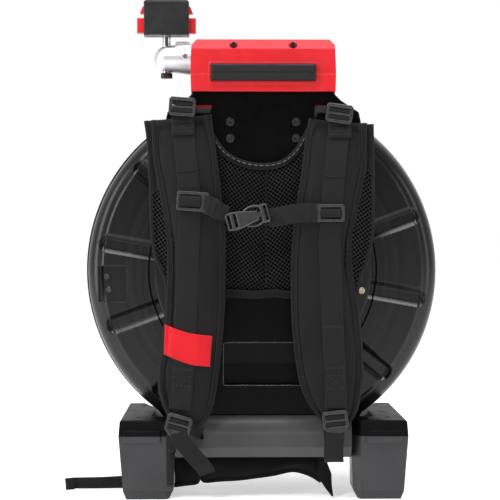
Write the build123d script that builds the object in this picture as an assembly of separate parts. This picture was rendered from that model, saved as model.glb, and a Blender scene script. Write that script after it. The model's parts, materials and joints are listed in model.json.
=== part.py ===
"""Backpack drain snake machine: a friction-driven cable drum on a frame worn with a harness.

Origin: on the ground, midway between the feet. X runs across the machine, Y runs from the
harness side (negative) to the cable outlet (positive), Z is up. All sizes are millimetres.
"""
import os
from math import atan2, cos, degrees, radians, sin

from build123d import *

# ---- frame -----------------------------------------------------------------------------
REAR_Y = -125.0            # rear faces of the feet
FRONT_Y = 125.0            # front faces of the feet
FOOT_TOP = 118.0           # top of each foot
FOOT_OUTER = 218.0         # outer side of each foot, from the middle
FOOT_INNER = 133.0         # inner side of each foot, from the middle
FOOT_SPLIT_Z = 94.0        # height at which the side draft changes
PAD_HEIGHT = 11.0          # rubber pads under the feet
ARCH_HALF = 45.0           # half the length of the gap between the two legs of a foot
ARCH_TOP = 84.0
WALL = 4.0                 # moulded wall of the feet
PLATE_REAR = -100.0        # rear face of the back plate
PLATE_T = 6.0
PLATE_TOP = 613.7
PLATE_HALF = 105.0
POCKET_X = 60.0            # hand hold in the back plate, half width
POCKET_LOW, POCKET_HIGH = 169.0, 233.0
POCKET_DEPTH = 13.5
SCREW_X = 50.0             # harness screw pattern
SCREW_HIGH, SCREW_LOW = 568.0, 543.0
BEAM_LOW, BEAM_HIGH = 61.0, 120.0
POST_X = 62.0              # front posts, from the middle
POST_R = 10.0
POST_Y = 113.0
SKID_BOLT_X, SKID_BOLT_Y = 190.0, 85.0
SKID_BOLT_R = 4.2

# ---- drum ------------------------------------------------------------------------------
AXIS_Z = 342.0             # height of the drum's axis
DRUM_R = 270.0             # rolling surface of the drum
FLANGE_R = 277.0           # joint flange between the two halves
FACE_R = 247.5             # where the flat face meets the rounded shoulder
DRUM_REAR = -65.0
SEAM_Y = 16.0
DRUM_FRONT = 2 * SEAM_Y - DRUM_REAR
FLANGE_T = 6.0
SHELL = 3.0
MOUTH_R = 92.0             # front opening
GROOVES = 12
GROOVE_START = 20.0        # angle of the first groove, seen from the rear
GROOVE_DEPTH = 6.5
GROOVE_FLOOR = 15.0
GROOVE_TOP = 30.0
GROOVE_END = 258.0
COVER_R = 166.0            # fixed cover behind the drum
AXLE_R = 12.5
BEARING_R = 26.0
BEARING_W = 15.0
CABLE_D = 12.0
CABLE_PITCH = 12.6
COIL_OUT = 224.0
COIL_TURNS = 8
COIL_LAYERS = 2

# ---- power unit ------------------------------------------------------------------------
UNIT_REAR, UNIT_FRONT = -108.0, 125.0
UNIT_TOP = 694.0
UNIT_SEAM = 640.0
UNIT_FLOOR = 628.0
UNIT_HALF = 110.0
UNIT_WALL = 3.0
WHEEL_R = 37.0             # friction wheel on the drum
WHEEL_GAP = 0.3
WHEEL_Z = AXIS_Z + DRUM_R + WHEEL_R + WHEEL_GAP
WHEEL_REAR, WHEEL_FRONT = -20.0, 0.0

# ---- swivel arm and clip head ----------------------------------------------------------
ARM_Y, ARM_Z = -30.0, 671.0
ARM_R, ARM_ROOT_R = 20.3, 24.5
HEAD_X = -149.0
ROD_R = 6.5
BLOCK_HALF = 35.0
BLOCK_LOW, BLOCK_TOP = 707.0, 763.0
BLOCK_DEPTH = 32.0
JAW_OUT = 10.6             # how far the release tabs stand out

# ---- harness ---------------------------------------------------------------------------
PAD_INNER = -105.0         # inner face of the shoulder pads at their upper end
PAD_T = 17.0
WEB_W, WEB_T = 33.0, 1.8
STERNUM_Y = -152.0         # middle of the chest buckle's thickness


# ---- helpers ---------------------------------------------------------------------------
def block(x0, x1, y0, y1, z0, z1):
    """Box between two corners."""
    centre = Pos((x0 + x1) / 2, (y0 + y1) / 2, (z0 + z1) / 2)
    return centre * Box(x1 - x0, y1 - y0, z1 - z0)


def rod_y(r, y0, y1, x=0.0, z=AXIS_Z):
    """Cylinder along Y."""
    return Pos(x, (y0 + y1) / 2, z) * Rot(90, 0, 0) * Cylinder(r, y1 - y0)


def rod_x(r, x0, x1, y, z):
    """Cylinder along X."""
    return Pos((x0 + x1) / 2, y, z) * Rot(0, 90, 0) * Cylinder(r, x1 - x0)


def rod_z(r, z0, z1, x, y):
    """Cylinder along Z."""
    return Pos(x, y, (z0 + z1) / 2) * Cylinder(r, z1 - z0)


def ring_y(r_out, r_in, y0, y1, x=0.0, z=AXIS_Z):
    """Tube along Y."""
    return rod_y(r_out, y0, y1, x, z) - rod_y(r_in, y0 - 1, y1 + 1, x, z)


def slab(outline, y0, y1):
    """Outline in X and Z, extruded from y0 to y1."""
    points = [(x, y0, z) for x, z in outline]
    return extrude(make_face(Polyline(*points, close=True)), amount=y1 - y0, dir=(0, 1, 0))


def bar(outline, x0, x1):
    """Outline in Y and Z, extruded from x0 to x1."""
    points = [(x0, y, z) for y, z in outline]
    return extrude(make_face(Polyline(*points, close=True)), amount=x1 - x0, dir=(1, 0, 0))


def prism(outline, z0, z1):
    """Outline in X and Y, extruded from z0 to z1."""
    points = [(x, y, z0) for x, y in outline]
    return extrude(make_face(Polyline(*points, close=True)), amount=z1 - z0, dir=(0, 0, 1))


def both_sides(half):
    """Closed symmetric outline from the right half of it, listed from top to bottom."""
    return half + [(-x, z) for x, z in reversed(half)]


def flip(shape):
    """The same shape on the other side of the middle plane."""
    return mirror(shape, about=Plane.YZ)


def group(shapes):
    """Separate solids that belong to one node."""
    return Compound(children=[solid for shape in shapes for solid in shape.solids()])


def screw(head_r, head_h, shank_r, length):
    """Socket screw with its head's seat at the origin, head towards -Y."""
    socket_r = head_r * 0.5
    hexagon = extrude(RegularPolygon(socket_r, 6), amount=head_h * 0.6)
    head = rod_y(head_r, -head_h, 0, 0, 0)
    head = chamfer(head.edges().group_by(Axis.Y)[0], head_h * 0.2)
    shank = rod_y(shank_r, 0, length, 0, 0)
    return head + shank - Pos(0, -head_h, 0) * Rot(-90, 0, 0) * hexagon


def on_circle(radius, count, start=0.0):
    """Points (x, z) around the drum's axis, seen from the rear."""
    for k in range(count):
        a = radians(start + 360.0 * k / count)
        yield radius * cos(a), AXIS_Z + radius * sin(a)


# ---- frame pieces ----------------------------------------------------------------------
def foot_plan():
    return [
        (FOOT_OUTER + 1, REAR_Y),
        (146, REAR_Y),
        (FOOT_INNER, REAR_Y + 30),
        (FOOT_INNER, REAR_Y + 65),
        (190, FRONT_Y),
        (FOOT_OUTER + 1, FRONT_Y),
    ]


def foot_front():
    return [
        (FOOT_OUTER - 2, FOOT_TOP),
        (FOOT_OUTER, FOOT_SPLIT_Z),
        (FOOT_OUTER - 7, PAD_HEIGHT),
        (FOOT_INNER + 3, PAD_HEIGHT),
        (FOOT_INNER, FOOT_SPLIT_Z),
        (FOOT_INNER, FOOT_TOP),
    ]


def right_foot():
    """Moulded skid: two hollow legs joined by a bridge, open below onto the rubber pads."""
    solid = prism(foot_plan(), 0, FOOT_TOP) & slab(foot_front(), REAR_Y, FRONT_Y)
    solid = chamfer(solid.faces().sort_by(Axis.Z)[-1].edges(), 2.0)
    solid -= block(100, 250, -ARCH_HALF, ARCH_HALF, 0, ARCH_TOP)
    rear_leg = prism(
        [(FOOT_OUTER - 12, REAR_Y + WALL), (150, REAR_Y + WALL), (142, REAR_Y + 30),
         (142, -ARCH_HALF - WALL), (FOOT_OUTER - 12, -ARCH_HALF - WALL)], 0, ARCH_TOP)
    front_leg = prism(
        [(FOOT_OUTER - 12, ARCH_HALF + WALL), (174, ARCH_HALF + WALL), (194, FRONT_Y - WALL),
         (FOOT_OUTER - 12, FRONT_Y - WALL)], 0, ARCH_TOP)
    solid = solid - rear_leg - front_leg
    ledge = block(154, 210, REAR_Y - 3, REAR_Y + 1, 84, 103)
    ledge = chamfer(ledge.faces().sort_by(Axis.Y)[0].edges(), 1.5)
    solid += ledge
    solid -= rod_y(FLANGE_R + 4, DRUM_REAR - 6, FRONT_Y + 1)
    for y in (-SKID_BOLT_Y, SKID_BOLT_Y):
        solid -= rod_z(SKID_BOLT_R, 0, 200, SKID_BOLT_X, y)
    return solid


def foot_pads():
    """Four rubber pads, one under each leg."""
    plan = prism(foot_plan(), 0, PAD_HEIGHT)
    side = slab([(FOOT_OUTER - 7, PAD_HEIGHT), (FOOT_OUTER - 12, 0),
                 (FOOT_INNER + 9, 0), (FOOT_INNER + 3, PAD_HEIGHT)], REAR_Y, FRONT_Y)
    pads = (plan & side) - block(100, 250, -ARCH_HALF, ARCH_HALF, -1, 50)
    for y in (-SKID_BOLT_Y, SKID_BOLT_Y):
        pads -= rod_z(SKID_BOLT_R, -1, 50, SKID_BOLT_X, y)
    return group([pads, flip(pads)])


def beam_face():
    """Section of the base beam, with the bowed side towards the wearer."""
    top, low = BEAM_HIGH + 3, BEAM_LOW
    points = [(0, PLATE_REAR, top), (0, PLATE_REAR - 20, top - 26), (0, PLATE_REAR - 22, 77),
              (0, PLATE_REAR - 12, low), (0, -78, low), (0, -78, top)]
    bow_edge = ThreePointArc(points[0], (0, PLATE_REAR - 15, top - 9), points[1])
    return make_face(bow_edge + Polyline(*points[1:], points[0]))


def base_beam():
    """Hollow cross beam between the feet, bowed out towards the wearer."""
    solid = extrude(Pos(-FOOT_INNER, 0, 0) * beam_face(), amount=2 * FOOT_INNER, dir=(1, 0, 0))
    solid -= bar([(-98, 119), (-111, 110), (-116, 97), (-118, 78), (-110, 65), (-82, 65), (-82, 119)],
                 -FOOT_INNER - 1, FOOT_INNER + 1)
    for x in (-93, 93):
        solid -= block(x - 1.8, x + 1.8, -130, -110, 89, 106)
    return solid


def plate_outline():
    return both_sides([
        (PLATE_HALF, PLATE_TOP),
        (PLATE_HALF + 13, PLATE_TOP - 13),
        (145, 583),
        (150, 560),
        (150, 470),
        (118, 380),
        (118, BEAM_HIGH + 3),
    ])


def back_plate():
    """Spine plate that carries the drum's axle, the power unit and the harness."""
    plate = slab(plate_outline(), PLATE_REAR, PLATE_REAR + PLATE_T)
    plate = chamfer(plate.faces().sort_by(Axis.Y)[0].edges(), 1.5)
    for x in (-112, 112):
        rib = block(x - 3, x + 3, PLATE_REAR + PLATE_T - 1, -82, BEAM_HIGH + 4, 560)
        plate += rib
    well = block(-POCKET_X - 3, POCKET_X + 3, PLATE_REAR + 1, PLATE_REAR + POCKET_DEPTH + 3,
                 POCKET_LOW - 3, POCKET_HIGH + 3)
    plate += well
    middle = (POCKET_LOW + POCKET_HIGH) / 2
    hollow = bar([(PLATE_REAR - 1, POCKET_LOW), (PLATE_REAR + POCKET_DEPTH, POCKET_LOW),
                  (PLATE_REAR + POCKET_DEPTH, middle), (PLATE_REAR + 3, POCKET_HIGH),
                  (PLATE_REAR - 1, POCKET_HIGH)], -POCKET_X, POCKET_X)
    plate -= fillet(hollow.edges().filter_by(Axis.Y), 3.5)
    for side in (-1, 1):
        plate -= block(side * 93 - 15, side * 93 + 15, -130, -80, 587, 593.5)
        for z in (SCREW_HIGH, SCREW_LOW):
            plate -= rod_y(4.25, -130, -80, side * SCREW_X, z)
    for x, z in on_circle(40, 4, 45):
        plate -= rod_y(4.2, -130, -80, x, z)
    return plate


def plate_screws():
    """Harness screws and axle flange screws in the back plate."""
    pieces = []
    spots = [(side * SCREW_X, z) for side in (-1, 1) for z in (SCREW_HIGH, SCREW_LOW)]
    spots += list(on_circle(40, 4, 45))
    for x, z in spots:
        pieces.append(Pos(x, PLATE_REAR, z) * screw(6.5, 3.0, 4.1, PLATE_T))
    return group(pieces)


def front_beam():
    """Square tube between the fronts of the feet."""
    half = 190.0
    tube = block(-half, half, POST_Y - 12, POST_Y + 12, 88, 112)
    tube -= block(-half - 1, half + 1, POST_Y - 9, POST_Y + 9, 91, 109)
    feet = prism(foot_plan(), 0, 200)
    return tube - feet - flip(feet)


def front_posts():
    """Two upright tubes in front of the drum."""
    posts = []
    for side in (-1, 1):
        x = side * POST_X
        posts.append(rod_z(POST_R, 112, 606, x, POST_Y) - rod_z(POST_R - 2.5, 100, 640, x, POST_Y))
    return group(posts)


def nose_plate():
    """Cast bridge between the posts that carries the cable outlet."""
    plate = block(-POST_X, POST_X, 108, 120, AXIS_Z - 34, AXIS_Z + 34)
    for side in (-1, 1):
        plate += rod_z(POST_R + 5, AXIS_Z - 34, AXIS_Z + 34, side * POST_X, POST_Y)
        plate -= rod_z(POST_R + 0.05, AXIS_Z - 60, AXIS_Z + 60, side * POST_X, POST_Y)
    plate -= rod_y(24.05, 90, 140)
    return plate


# ---- drum pieces -----------------------------------------------------------------------
def drum_body(inset, y_rear, y_front):
    """Solid of revolution inside the drum's skin, from the rear face to y_front."""
    face_r = FACE_R - inset * 0.6
    rear = y_rear + inset
    outer = DRUM_R - inset
    turn = y_rear + 30
    mid_r = face_r + (outer - face_r) * 0.72
    mid_y = rear + (turn - rear) * 0.30
    edge = Polyline((0, rear, AXIS_Z), (face_r, rear, AXIS_Z))
    shoulder = ThreePointArc((face_r, rear, AXIS_Z), (mid_r, mid_y, AXIS_Z), (outer, turn, AXIS_Z))
    rest = Polyline((outer, turn, AXIS_Z), (outer, y_front, AXIS_Z), (0, y_front, AXIS_Z),
                    (0, rear, AXIS_Z))
    return revolve(make_face(edge + shoulder + rest), Axis((0, 0, AXIS_Z), (0, 1, 0)))


def groove(angle, grow, y_rear):
    """Radial channel with sloped walls and a round outer end, pressed into the rear face."""
    depth = GROOVE_DEPTH + grow
    slope = degrees(atan2((GROOVE_TOP - GROOVE_FLOOR) / 2, GROOVE_DEPTH))
    length = GROOVE_END - 120
    floor = SlotOverall(length, GROOVE_FLOOR + 2 * grow)
    cut = extrude(floor, amount=depth + 4, taper=-slope)
    place = Pos(0, y_rear + depth, AXIS_Z) * Rot(90, 0, 0) * Rot(0, 0, angle)
    return place * Pos(GROOVE_END - length / 2 - (GROOVE_TOP - GROOVE_FLOOR) / 2, 0, 0) * cut


def anchor_recess(grow):
    """Rectangular recess over the inner cable clamp."""
    return block(-252 - grow, -209 + grow, DRUM_REAR - 5, DRUM_REAR + 6 + grow,
                 294 - grow, 349 + grow)


def drum_half():
    """Rear half of the drum with its channels, before the centre and recess are cut."""
    outer = drum_body(0.0, DRUM_REAR, SEAM_Y)
    inner = drum_body(SHELL, DRUM_REAR, SEAM_Y + 1)
    angles = [GROOVE_START + 360.0 / GROOVES * k for k in range(GROOVES)]
    for angle in angles:
        outer -= groove(angle, 0.0, DRUM_REAR)
        inner -= groove(angle, SHELL, DRUM_REAR)
    return outer, inner


def rim_spots():
    return list(on_circle(DRUM_R + 3.6, 12, 0))


def flanged(outer, inner):
    """Shell between two solids, with the drilled joint flange."""
    shell = outer - inner
    shell += ring_y(FLANGE_R, DRUM_R - SHELL, SEAM_Y - FLANGE_T, SEAM_Y)
    for x, z in rim_spots():
        shell -= rod_y(1.6, SEAM_Y - 20, SEAM_Y + 20, x, z)
    return shell


def drum_rear_shell():
    """Rear drum half: flat panels, pressed channels, clamp recess and joint flange."""
    outer, inner = drum_half()
    shell = flanged(outer - anchor_recess(0.0), inner - anchor_recess(SHELL))
    shell -= rod_y(36, -100, 100)
    for x, z in on_circle(48, 6):
        shell -= rod_y(3.1, -100, 0, x, z)
    for x, z in ((-240, 333), (-237, 313)):
        shell -= rod_y(2.6, -100, 0, x, z)
    return shell


def drum_front_shell():
    """Front drum half, the mirror of the rear one, with the cable mouth."""
    shell = mirror(flanged(*drum_half()), about=Plane.XZ)
    shell = Pos(0, SEAM_Y * 2, 0) * shell
    shell -= rod_y(MOUTH_R, 50, 150)
    lip = ring_y(MOUTH_R + 6, MOUTH_R, DRUM_FRONT - 12, DRUM_FRONT + 2)
    return shell + fillet(lip.edges().group_by(Axis.Y)[-1], 2.0)


def rim_screws():
    """Screws that join the two drum halves at the flange."""
    pieces = []
    for x, z in rim_spots():
        pieces.append(Pos(x, SEAM_Y - FLANGE_T, z) * screw(3.0, 1.5, 1.5, 2 * FLANGE_T))
    return group(pieces)


def drum_hub():
    """Turned hub with a bearing seat at each end and a flange on the rear wall."""
    rear = DRUM_REAR + SHELL
    hub = rod_y(BEARING_R + 8, rear, 50) + rod_y(58, rear, rear + 6)
    hub -= rod_y(AXLE_R + 6, -100, 100)
    hub -= rod_y(BEARING_R, -100, rear + 2 + BEARING_W)
    hub -= rod_y(BEARING_R, 48 - BEARING_W, 100)
    for x, z in on_circle(48, 6):
        hub -= rod_y(3.1, -100, 0, x, z)
    return hub


def hub_bolts():
    """Bolts through the rear wall into the hub's flange."""
    return group([Pos(x, DRUM_REAR, z) * screw(5.0, 3.0, 3.0, SHELL + 6) for x, z in on_circle(48, 6)])


def drum_bearings():
    """Two deep-groove bearings that turn on the axle."""
    rear = DRUM_REAR + SHELL + 2
    front = 48 - BEARING_W
    return group([ring_y(BEARING_R, AXLE_R + 0.05, y, y + BEARING_W) for y in (rear, front)])


def axle():
    """Fixed axle with a flange that bolts to the back plate."""
    solid = rod_y(AXLE_R, -85, 60) + rod_y(55, PLATE_REAR + PLATE_T, -80)
    for x, z in on_circle(40, 4, 45):
        solid -= rod_y(SKID_BOLT_R, -100, -70, x, z)
    return chamfer(solid.edges().group_by(Axis.Y)[-1], 1.5)


def hub_cover():
    """Fixed round cover between the back plate and the drum."""
    cover = ring_y(COVER_R, AXLE_R + 0.1, -80, -75)
    cover = chamfer(cover.edges().group_by(Axis.Y)[0].sort_by(SortBy.LENGTH)[-1], 1.5)
    cover += ring_y(COVER_R - 4, COVER_R - 8, -75.5, -70)
    for x, z in on_circle(154, 6, -11.4):
        cover -= rod_y(2.6, -90, -60, x, z)
    return cover


def cover_screws():
    """Screws around the hub cover."""
    return group([Pos(x, -80, z) * screw(5.2, 2.6, 2.5, 5) for x, z in on_circle(154, 6, -11.4)])


def cable_anchor():
    """Clamp inside the drum that holds the inner end of the cable."""
    floor = DRUM_REAR + 6 + SHELL
    clamp = block(-246, -230, floor, floor + 8, 304, 344)
    for x, z in ((-240, 333), (-237, 313)):
        clamp -= rod_y(2.6, -100, 0, x, z)
    return clamp


def anchor_screws():
    """Two socket screws through the recess into the cable clamp."""
    return group([Pos(x, DRUM_REAR + 6, z) * screw(4.6, 3.0, 2.5, SHELL + 8)
                  for x, z in ((-240, 333), (-237, 313))])


def half_turn(radius, y, upper):
    """Half a turn of cable in a plane across the axis."""
    start = 0.0 if upper else 180.0
    centre = Plane(origin=(0, y, AXIS_Z), x_dir=(1, 0, 0), z_dir=(0, -1, 0))
    path = centre * CenterArc((0, 0), radius, start, 180)
    section = Plane(origin=path @ 0, z_dir=path % 0) * Circle(CABLE_D / 2)
    return sweep(section, path=path)


def cable_layer(y):
    """One flat spiral of cable, made of half turns whose centres step sideways."""
    layer = None
    step = CABLE_PITCH / 2
    for k in range(COIL_TURNS):
        radius = COIL_OUT - CABLE_PITCH * k
        pair = half_turn(radius, y, True) + Pos(-step, 0, 0) * half_turn(radius - step, y, False)
        layer = pair if layer is None else layer + pair
    return layer


def cable_coil():
    """The cable's turns in the drum, one flat spiral beside another."""
    first = cable_layer(DRUM_REAR + SHELL + GROOVE_DEPTH + CABLE_D / 2 + 1)
    return group([Pos(0, CABLE_PITCH * k, 0) * first for k in range(COIL_LAYERS)])


# ---- cable outlet ----------------------------------------------------------------------
def guide_tube():
    """Bent tube that leads the cable from the coil to the axis, turning on the axle's end."""
    bend, arm_y, reach = 22.0, 70.0, 140.0
    path = FilletPolyline((0, 104, AXIS_Z), (0, arm_y, AXIS_Z), (reach, arm_y, AXIS_Z),
                          (reach, 20, AXIS_Z), radius=bend)
    start = Plane(origin=(0, 104, AXIS_Z), z_dir=(0, -1, 0))
    tube = sweep(start * Circle(9), path=path) - sweep(start * Circle(7), path=path)
    sleeve = ring_y(17, AXLE_R + 0.06, 50, 58.5)
    web = block(15, 60, 51, 58, AXIS_Z - 4, AXIS_Z + 4)
    stem = block(50, 60, 51, 66, AXIS_Z - 4, AXIS_Z + 4)
    return tube + ((sleeve + web + stem) - sweep(start * Circle(8), path=path))


def nose_collar():
    """Cast collar that the cable leaves through, with the lever's pivot pin."""
    collar = rod_y(24, 106, 120) + rod_y(20, 120, 150) + rod_y(28, 120, 126)
    collar -= rod_y(CABLE_D / 2 + 0.8, 100, 160)
    collar += block(-6, 6, 128, 144, AXIS_Z + 18, AXIS_Z + 38)
    collar += rod_x(4, -6, 18, 136, AXIS_Z + 30)
    return collar


def feed_lever():
    """Lever that presses the feed rollers on the cable."""
    hub = rod_x(9, 6.5, 15, 136, AXIS_Z + 30)
    arm = block(7.5, 14, 132, 140, AXIS_Z + 30, AXIS_Z + 84)
    grip = Pos(10.75, 136, AXIS_Z + 88) * Sphere(9)
    return hub + arm + grip - rod_x(4.05, 0, 20, 136, AXIS_Z + 30)


def cable_tip():
    """The cable's free end with its bulb head, parked in the outlet."""
    stub = rod_y(CABLE_D / 2, 95, 160)
    return stub + Pos(0, 165, AXIS_Z) * Sphere(9)


# ---- power unit ------------------------------------------------------------------------
def unit_outline():
    return both_sides([
        (101, UNIT_TOP),
        (108.5, UNIT_TOP - 9.4),
        (UNIT_HALF, UNIT_SEAM + 1),
        (UNIT_HALF, UNIT_SEAM - 1),
        (108.5, 586),
    ])


def unit_side():
    return [
        (UNIT_REAR, UNIT_TOP - 16),
        (UNIT_REAR + 16, UNIT_TOP),
        (UNIT_FRONT - 13, UNIT_TOP),
        (UNIT_FRONT, UNIT_TOP - 13),
        (UNIT_FRONT, 606),
        (100, 606),
        (100, UNIT_FLOOR),
        (-70, UNIT_FLOOR),
        (-76, 587),
        (PLATE_REAR + PLATE_T, 587),
        (PLATE_REAR + PLATE_T, PLATE_TOP),
        (UNIT_REAR, PLATE_TOP),
    ]


def unit_body(inset):
    """Body of the power unit, shrunk by inset on every side."""
    front = make_face(Polyline(*[(x, UNIT_REAR - 5, z) for x, z in unit_outline()], close=True))
    side = make_face(Polyline(*[(-130, y, z) for y, z in unit_side()], close=True))
    if inset:
        front = offset(front, amount=-inset, kind=Kind.INTERSECTION)
        side = offset(side, amount=-inset, kind=Kind.INTERSECTION)
    along_y = extrude(front, amount=260, dir=(0, 1, 0))
    along_x = extrude(side, amount=260, dir=(1, 0, 0))
    return along_y & along_x


def unit_shell():
    """Hollow power unit before it is split at its seam."""
    shell = unit_body(0.0)
    frame = block(-83, 83, UNIT_REAR - 4, UNIT_REAR + 1, 625, 657.6)
    shell += chamfer(frame.edges().filter_by(Axis.Y), 3)
    shell -= unit_body(UNIT_WALL)
    shell -= block(-34, 34, WHEEL_REAR - 3, WHEEL_FRONT + 3, 600, UNIT_FLOOR + UNIT_WALL + 1)
    shell -= rod_x(10.05, -130, -90, ARM_Y, ARM_Z)
    shell -= block(62, 82, 110, 130, 651, 679)
    shell -= block(-79.2, 79.2, UNIT_REAR - 6, UNIT_REAR - 1, 628.8, 654)
    for x in (-45, 45):
        shell -= rod_y(6.5, UNIT_REAR - 10, UNIT_REAR + 9, x, UNIT_TOP - 9)
        shell += rod_y(9, UNIT_REAR + 9, UNIT_REAR + 20, x, UNIT_TOP - 9) & unit_body(UNIT_WALL / 2)
        shell -= rod_y(2.6, UNIT_REAR, UNIT_REAR + 40, x, UNIT_TOP - 9)
    return shell


def housing_upper():
    """Upper shell of the power unit."""
    return unit_shell() & block(-150, 150, -150, 150, UNIT_SEAM, 720)


def housing_lower():
    """Lower shell of the power unit, reaching down behind the back plate."""
    return unit_shell() & block(-150, 150, -150, 150, 500, UNIT_SEAM)


def housing_screws():
    """Screws in the sloped rear edge of the upper shell."""
    return group([Pos(x, UNIT_REAR + 9, UNIT_TOP - 9) * screw(4.4, 3.2, 2.5, 12) for x in (-45, 45)])


def bumper():
    """Rubber bumper on the rear of the power unit."""
    body = block(-79, 79, UNIT_REAR - 12, UNIT_REAR - 1, 629, 653.8)
    body = chamfer(body.faces().sort_by(Axis.Y)[0].edges(), 2.5)
    return body - block(-80, 80, UNIT_REAR - 13, UNIT_REAR - 11, 641.0, 641.9)


def motor():
    """Electric motor behind the gearbox."""
    can = rod_y(18, 38, 92, 0, WHEEL_Z)
    return chamfer(can.edges().group_by(Axis.Y)[-1], 2)


def gearbox():
    """Gearbox that carries the drive shaft."""
    case = rod_y(18, 8, 38, 0, WHEEL_Z)
    return case - rod_y(5.05, 0, 30, 0, WHEEL_Z)


def drive_shaft():
    """Shaft of the friction wheel."""
    shaft = rod_y(5, -28, 28, 0, WHEEL_Z)
    return chamfer(shaft.edges().group_by(Axis.Y)[0], 0.8)


def drive_wheel():
    """Aluminium wheel on the drive shaft."""
    wheel = rod_y(WHEEL_R - 6, WHEEL_REAR, WHEEL_FRONT, 0, WHEEL_Z)
    wheel -= ring_y(WHEEL_R - 12, 12, WHEEL_REAR - 1, WHEEL_REAR + 6, 0, WHEEL_Z)
    return wheel - rod_y(5, -50, 50, 0, WHEEL_Z)


def drive_tyre():
    """Rubber tyre that drives the drum."""
    return ring_y(WHEEL_R, WHEEL_R - 6, WHEEL_REAR, WHEEL_FRONT, 0, WHEEL_Z)


def control_board():
    """Circuit board beside the motor."""
    board = block(40, 100, -60, 60, 634, 635.6)
    for k in range(4):
        board += block(48 + 12 * k, 56 + 12 * k, -40, 20, 635.6, 643)
    return board


def battery():
    """Sliding battery pack on the front of the power unit."""
    pack = block(-38, 38, UNIT_FRONT + 0.4, 182, 622, 688)
    pack = fillet(pack.edges().filter_by(Axis.Z).group_by(Axis.Y)[-1], 8)
    pack = chamfer(pack.faces().sort_by(Axis.Z)[-1].edges(), 2)
    for side in (-1, 1):
        pack -= block(side * 37 - 3, side * 37 + 3, 140, 164, 636, 656)
    return pack


def battery_button(side):
    """Release button in the side of the battery pack."""
    button = block(side * 38.6 - 2.2, side * 38.6 + 2.2, 140.4, 163.6, 636.4, 655.6)
    return chamfer(button.faces().sort_by(Axis.X)[-1 if side > 0 else 0].edges(), 0.8)


def power_switch():
    """Rocker switch in the front of the power unit."""
    rocker = rod_x(13.6, 62.5, 81.5, 117, 665)
    return rocker + block(70, 74, 128, 132, 655, 675)


# ---- swivel arm and clip head ----------------------------------------------------------
def arm_spigot():
    """Steel spigot from the power unit that the arm turns on."""
    return rod_x(10, -128, -100, ARM_Y, ARM_Z) + rod_x(12.5, -105, -100, ARM_Y, ARM_Z)


def arm_casting():
    """Aluminium arm with a round knuckle at its free end."""
    knuckle = HEAD_X + 1
    length = -110.8 - knuckle
    cone = Pos(knuckle + length / 2, ARM_Y, ARM_Z) * Rot(0, 90, 0) * Cone(ARM_R, ARM_ROOT_R, length)
    arm = cone + Pos(knuckle, ARM_Y, ARM_Z) * Sphere(ARM_R)
    arm += chamfer(block(-135, -112.5, -42, -18, 680, 697).edges().group_by(Axis.Z)[-1], 1.2)
    arm -= rod_x(10.05, -129, -100, ARM_Y, ARM_Z)
    arm -= rod_z(ROD_R + 0.05, 600, 750, HEAD_X, ARM_Y)
    arm -= rod_y(4.1, -70, -48, -119.7, 673)
    return arm


def arm_screw():
    """Socket screw in the arm."""
    return Pos(-119.7, -51.5, 673) * screw(4.0, 2.6, 2.0, 3)


def head_rod():
    """Steel rod through the arm that carries the clip head."""
    return rod_z(ROD_R, 646, 712, HEAD_X, ARM_Y)


def rod_nut():
    """Black friction nut under the arm."""
    nut = extrude(Pos(HEAD_X, ARM_Y, 641) * RegularPolygon(9, 6), amount=8)
    return nut - rod_z(ROD_R, 646, 660, HEAD_X, ARM_Y)


def head_block():
    """Hollow head that houses the two spring tabs."""
    y0, y1 = ARM_Y - BLOCK_DEPTH / 2, ARM_Y + BLOCK_DEPTH / 2
    x0, x1 = HEAD_X - BLOCK_HALF, HEAD_X + BLOCK_HALF
    head = block(x0, x1, y0, y1, BLOCK_LOW, BLOCK_TOP)
    head = chamfer(head.edges().group_by(Axis.Z)[-1], 4.5)
    head = fillet(head.edges().filter_by(Axis.Z), 2)
    head -= block(x0 + 3, x1 - 3, y0 + 4, y1 - 4, BLOCK_LOW + 3, BLOCK_TOP - 6)
    head -= block(x0 - 1, x1 + 1, ARM_Y - 7.3, ARM_Y + 7.3, 710.6, 734.4)
    head -= block(x0 - 1, x1 + 1, ARM_Y - 7.3, ARM_Y + 7.3, 740.6, 752.6)
    return head - rod_z(ROD_R, 700, 712, HEAD_X, ARM_Y)


def jaw(side):
    """Red spring tab: a plate in the head with a long and a short finger through its side."""
    edge = HEAD_X + side * BLOCK_HALF
    inner = edge - side * 14
    outline = [
        (inner, 711), (edge + side * JAW_OUT, 711), (edge + side * JAW_OUT, 734),
        (edge - side * 4, 734), (edge - side * 4, 741), (edge + side * 6.2, 741),
        (edge + side * 2.0, 752), (inner, 752),
    ]
    return slab(outline, ARM_Y - 7, ARM_Y + 7)


def jaw_spring():
    """Spring between the two tabs."""
    half = BLOCK_HALF - 14
    folds = 8
    step = 2 * half / folds
    outer = [(HEAD_X - half + step * k / 2, ARM_Y, 743 + (5.0 if k % 2 else 3.6))
             for k in range(2 * folds + 1)]
    inner = [(x, y, z - 1.2) for x, y, z in reversed(outer)]
    return revolve(make_face(Polyline(*outer, *inner, close=True)), Axis((0, ARM_Y, 743), (1, 0, 0)))


# ---- harness ---------------------------------------------------------------------------
def bow(inner_y, thick):
    """Wide band whose section bows towards the wearer between its two ends."""
    ends = [(inner_y, 590), (inner_y - 24, 340), (inner_y - 17, 90)]
    near = ThreePointArc(*[(-200, y, z) for y, z in ends])
    far = ThreePointArc(*[(-200, y - thick, z) for y, z in ends])
    caps = [Line(near @ 0, far @ 0), Line(near @ 1, far @ 1)]
    return extrude(make_face(near + far + caps[0] + caps[1]), amount=400, dir=(1, 0, 0))


def left_pad_outline():
    return [(-180, 570), (-79, 579), (-70, 504), (-58, 404), (-61, 271), (-70, 175), (-80, 129),
            (-96, 108), (-128, 108), (-146, 133), (-157, 180), (-149, 271), (-146, 338),
            (-166, 434), (-175, 504)]


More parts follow.
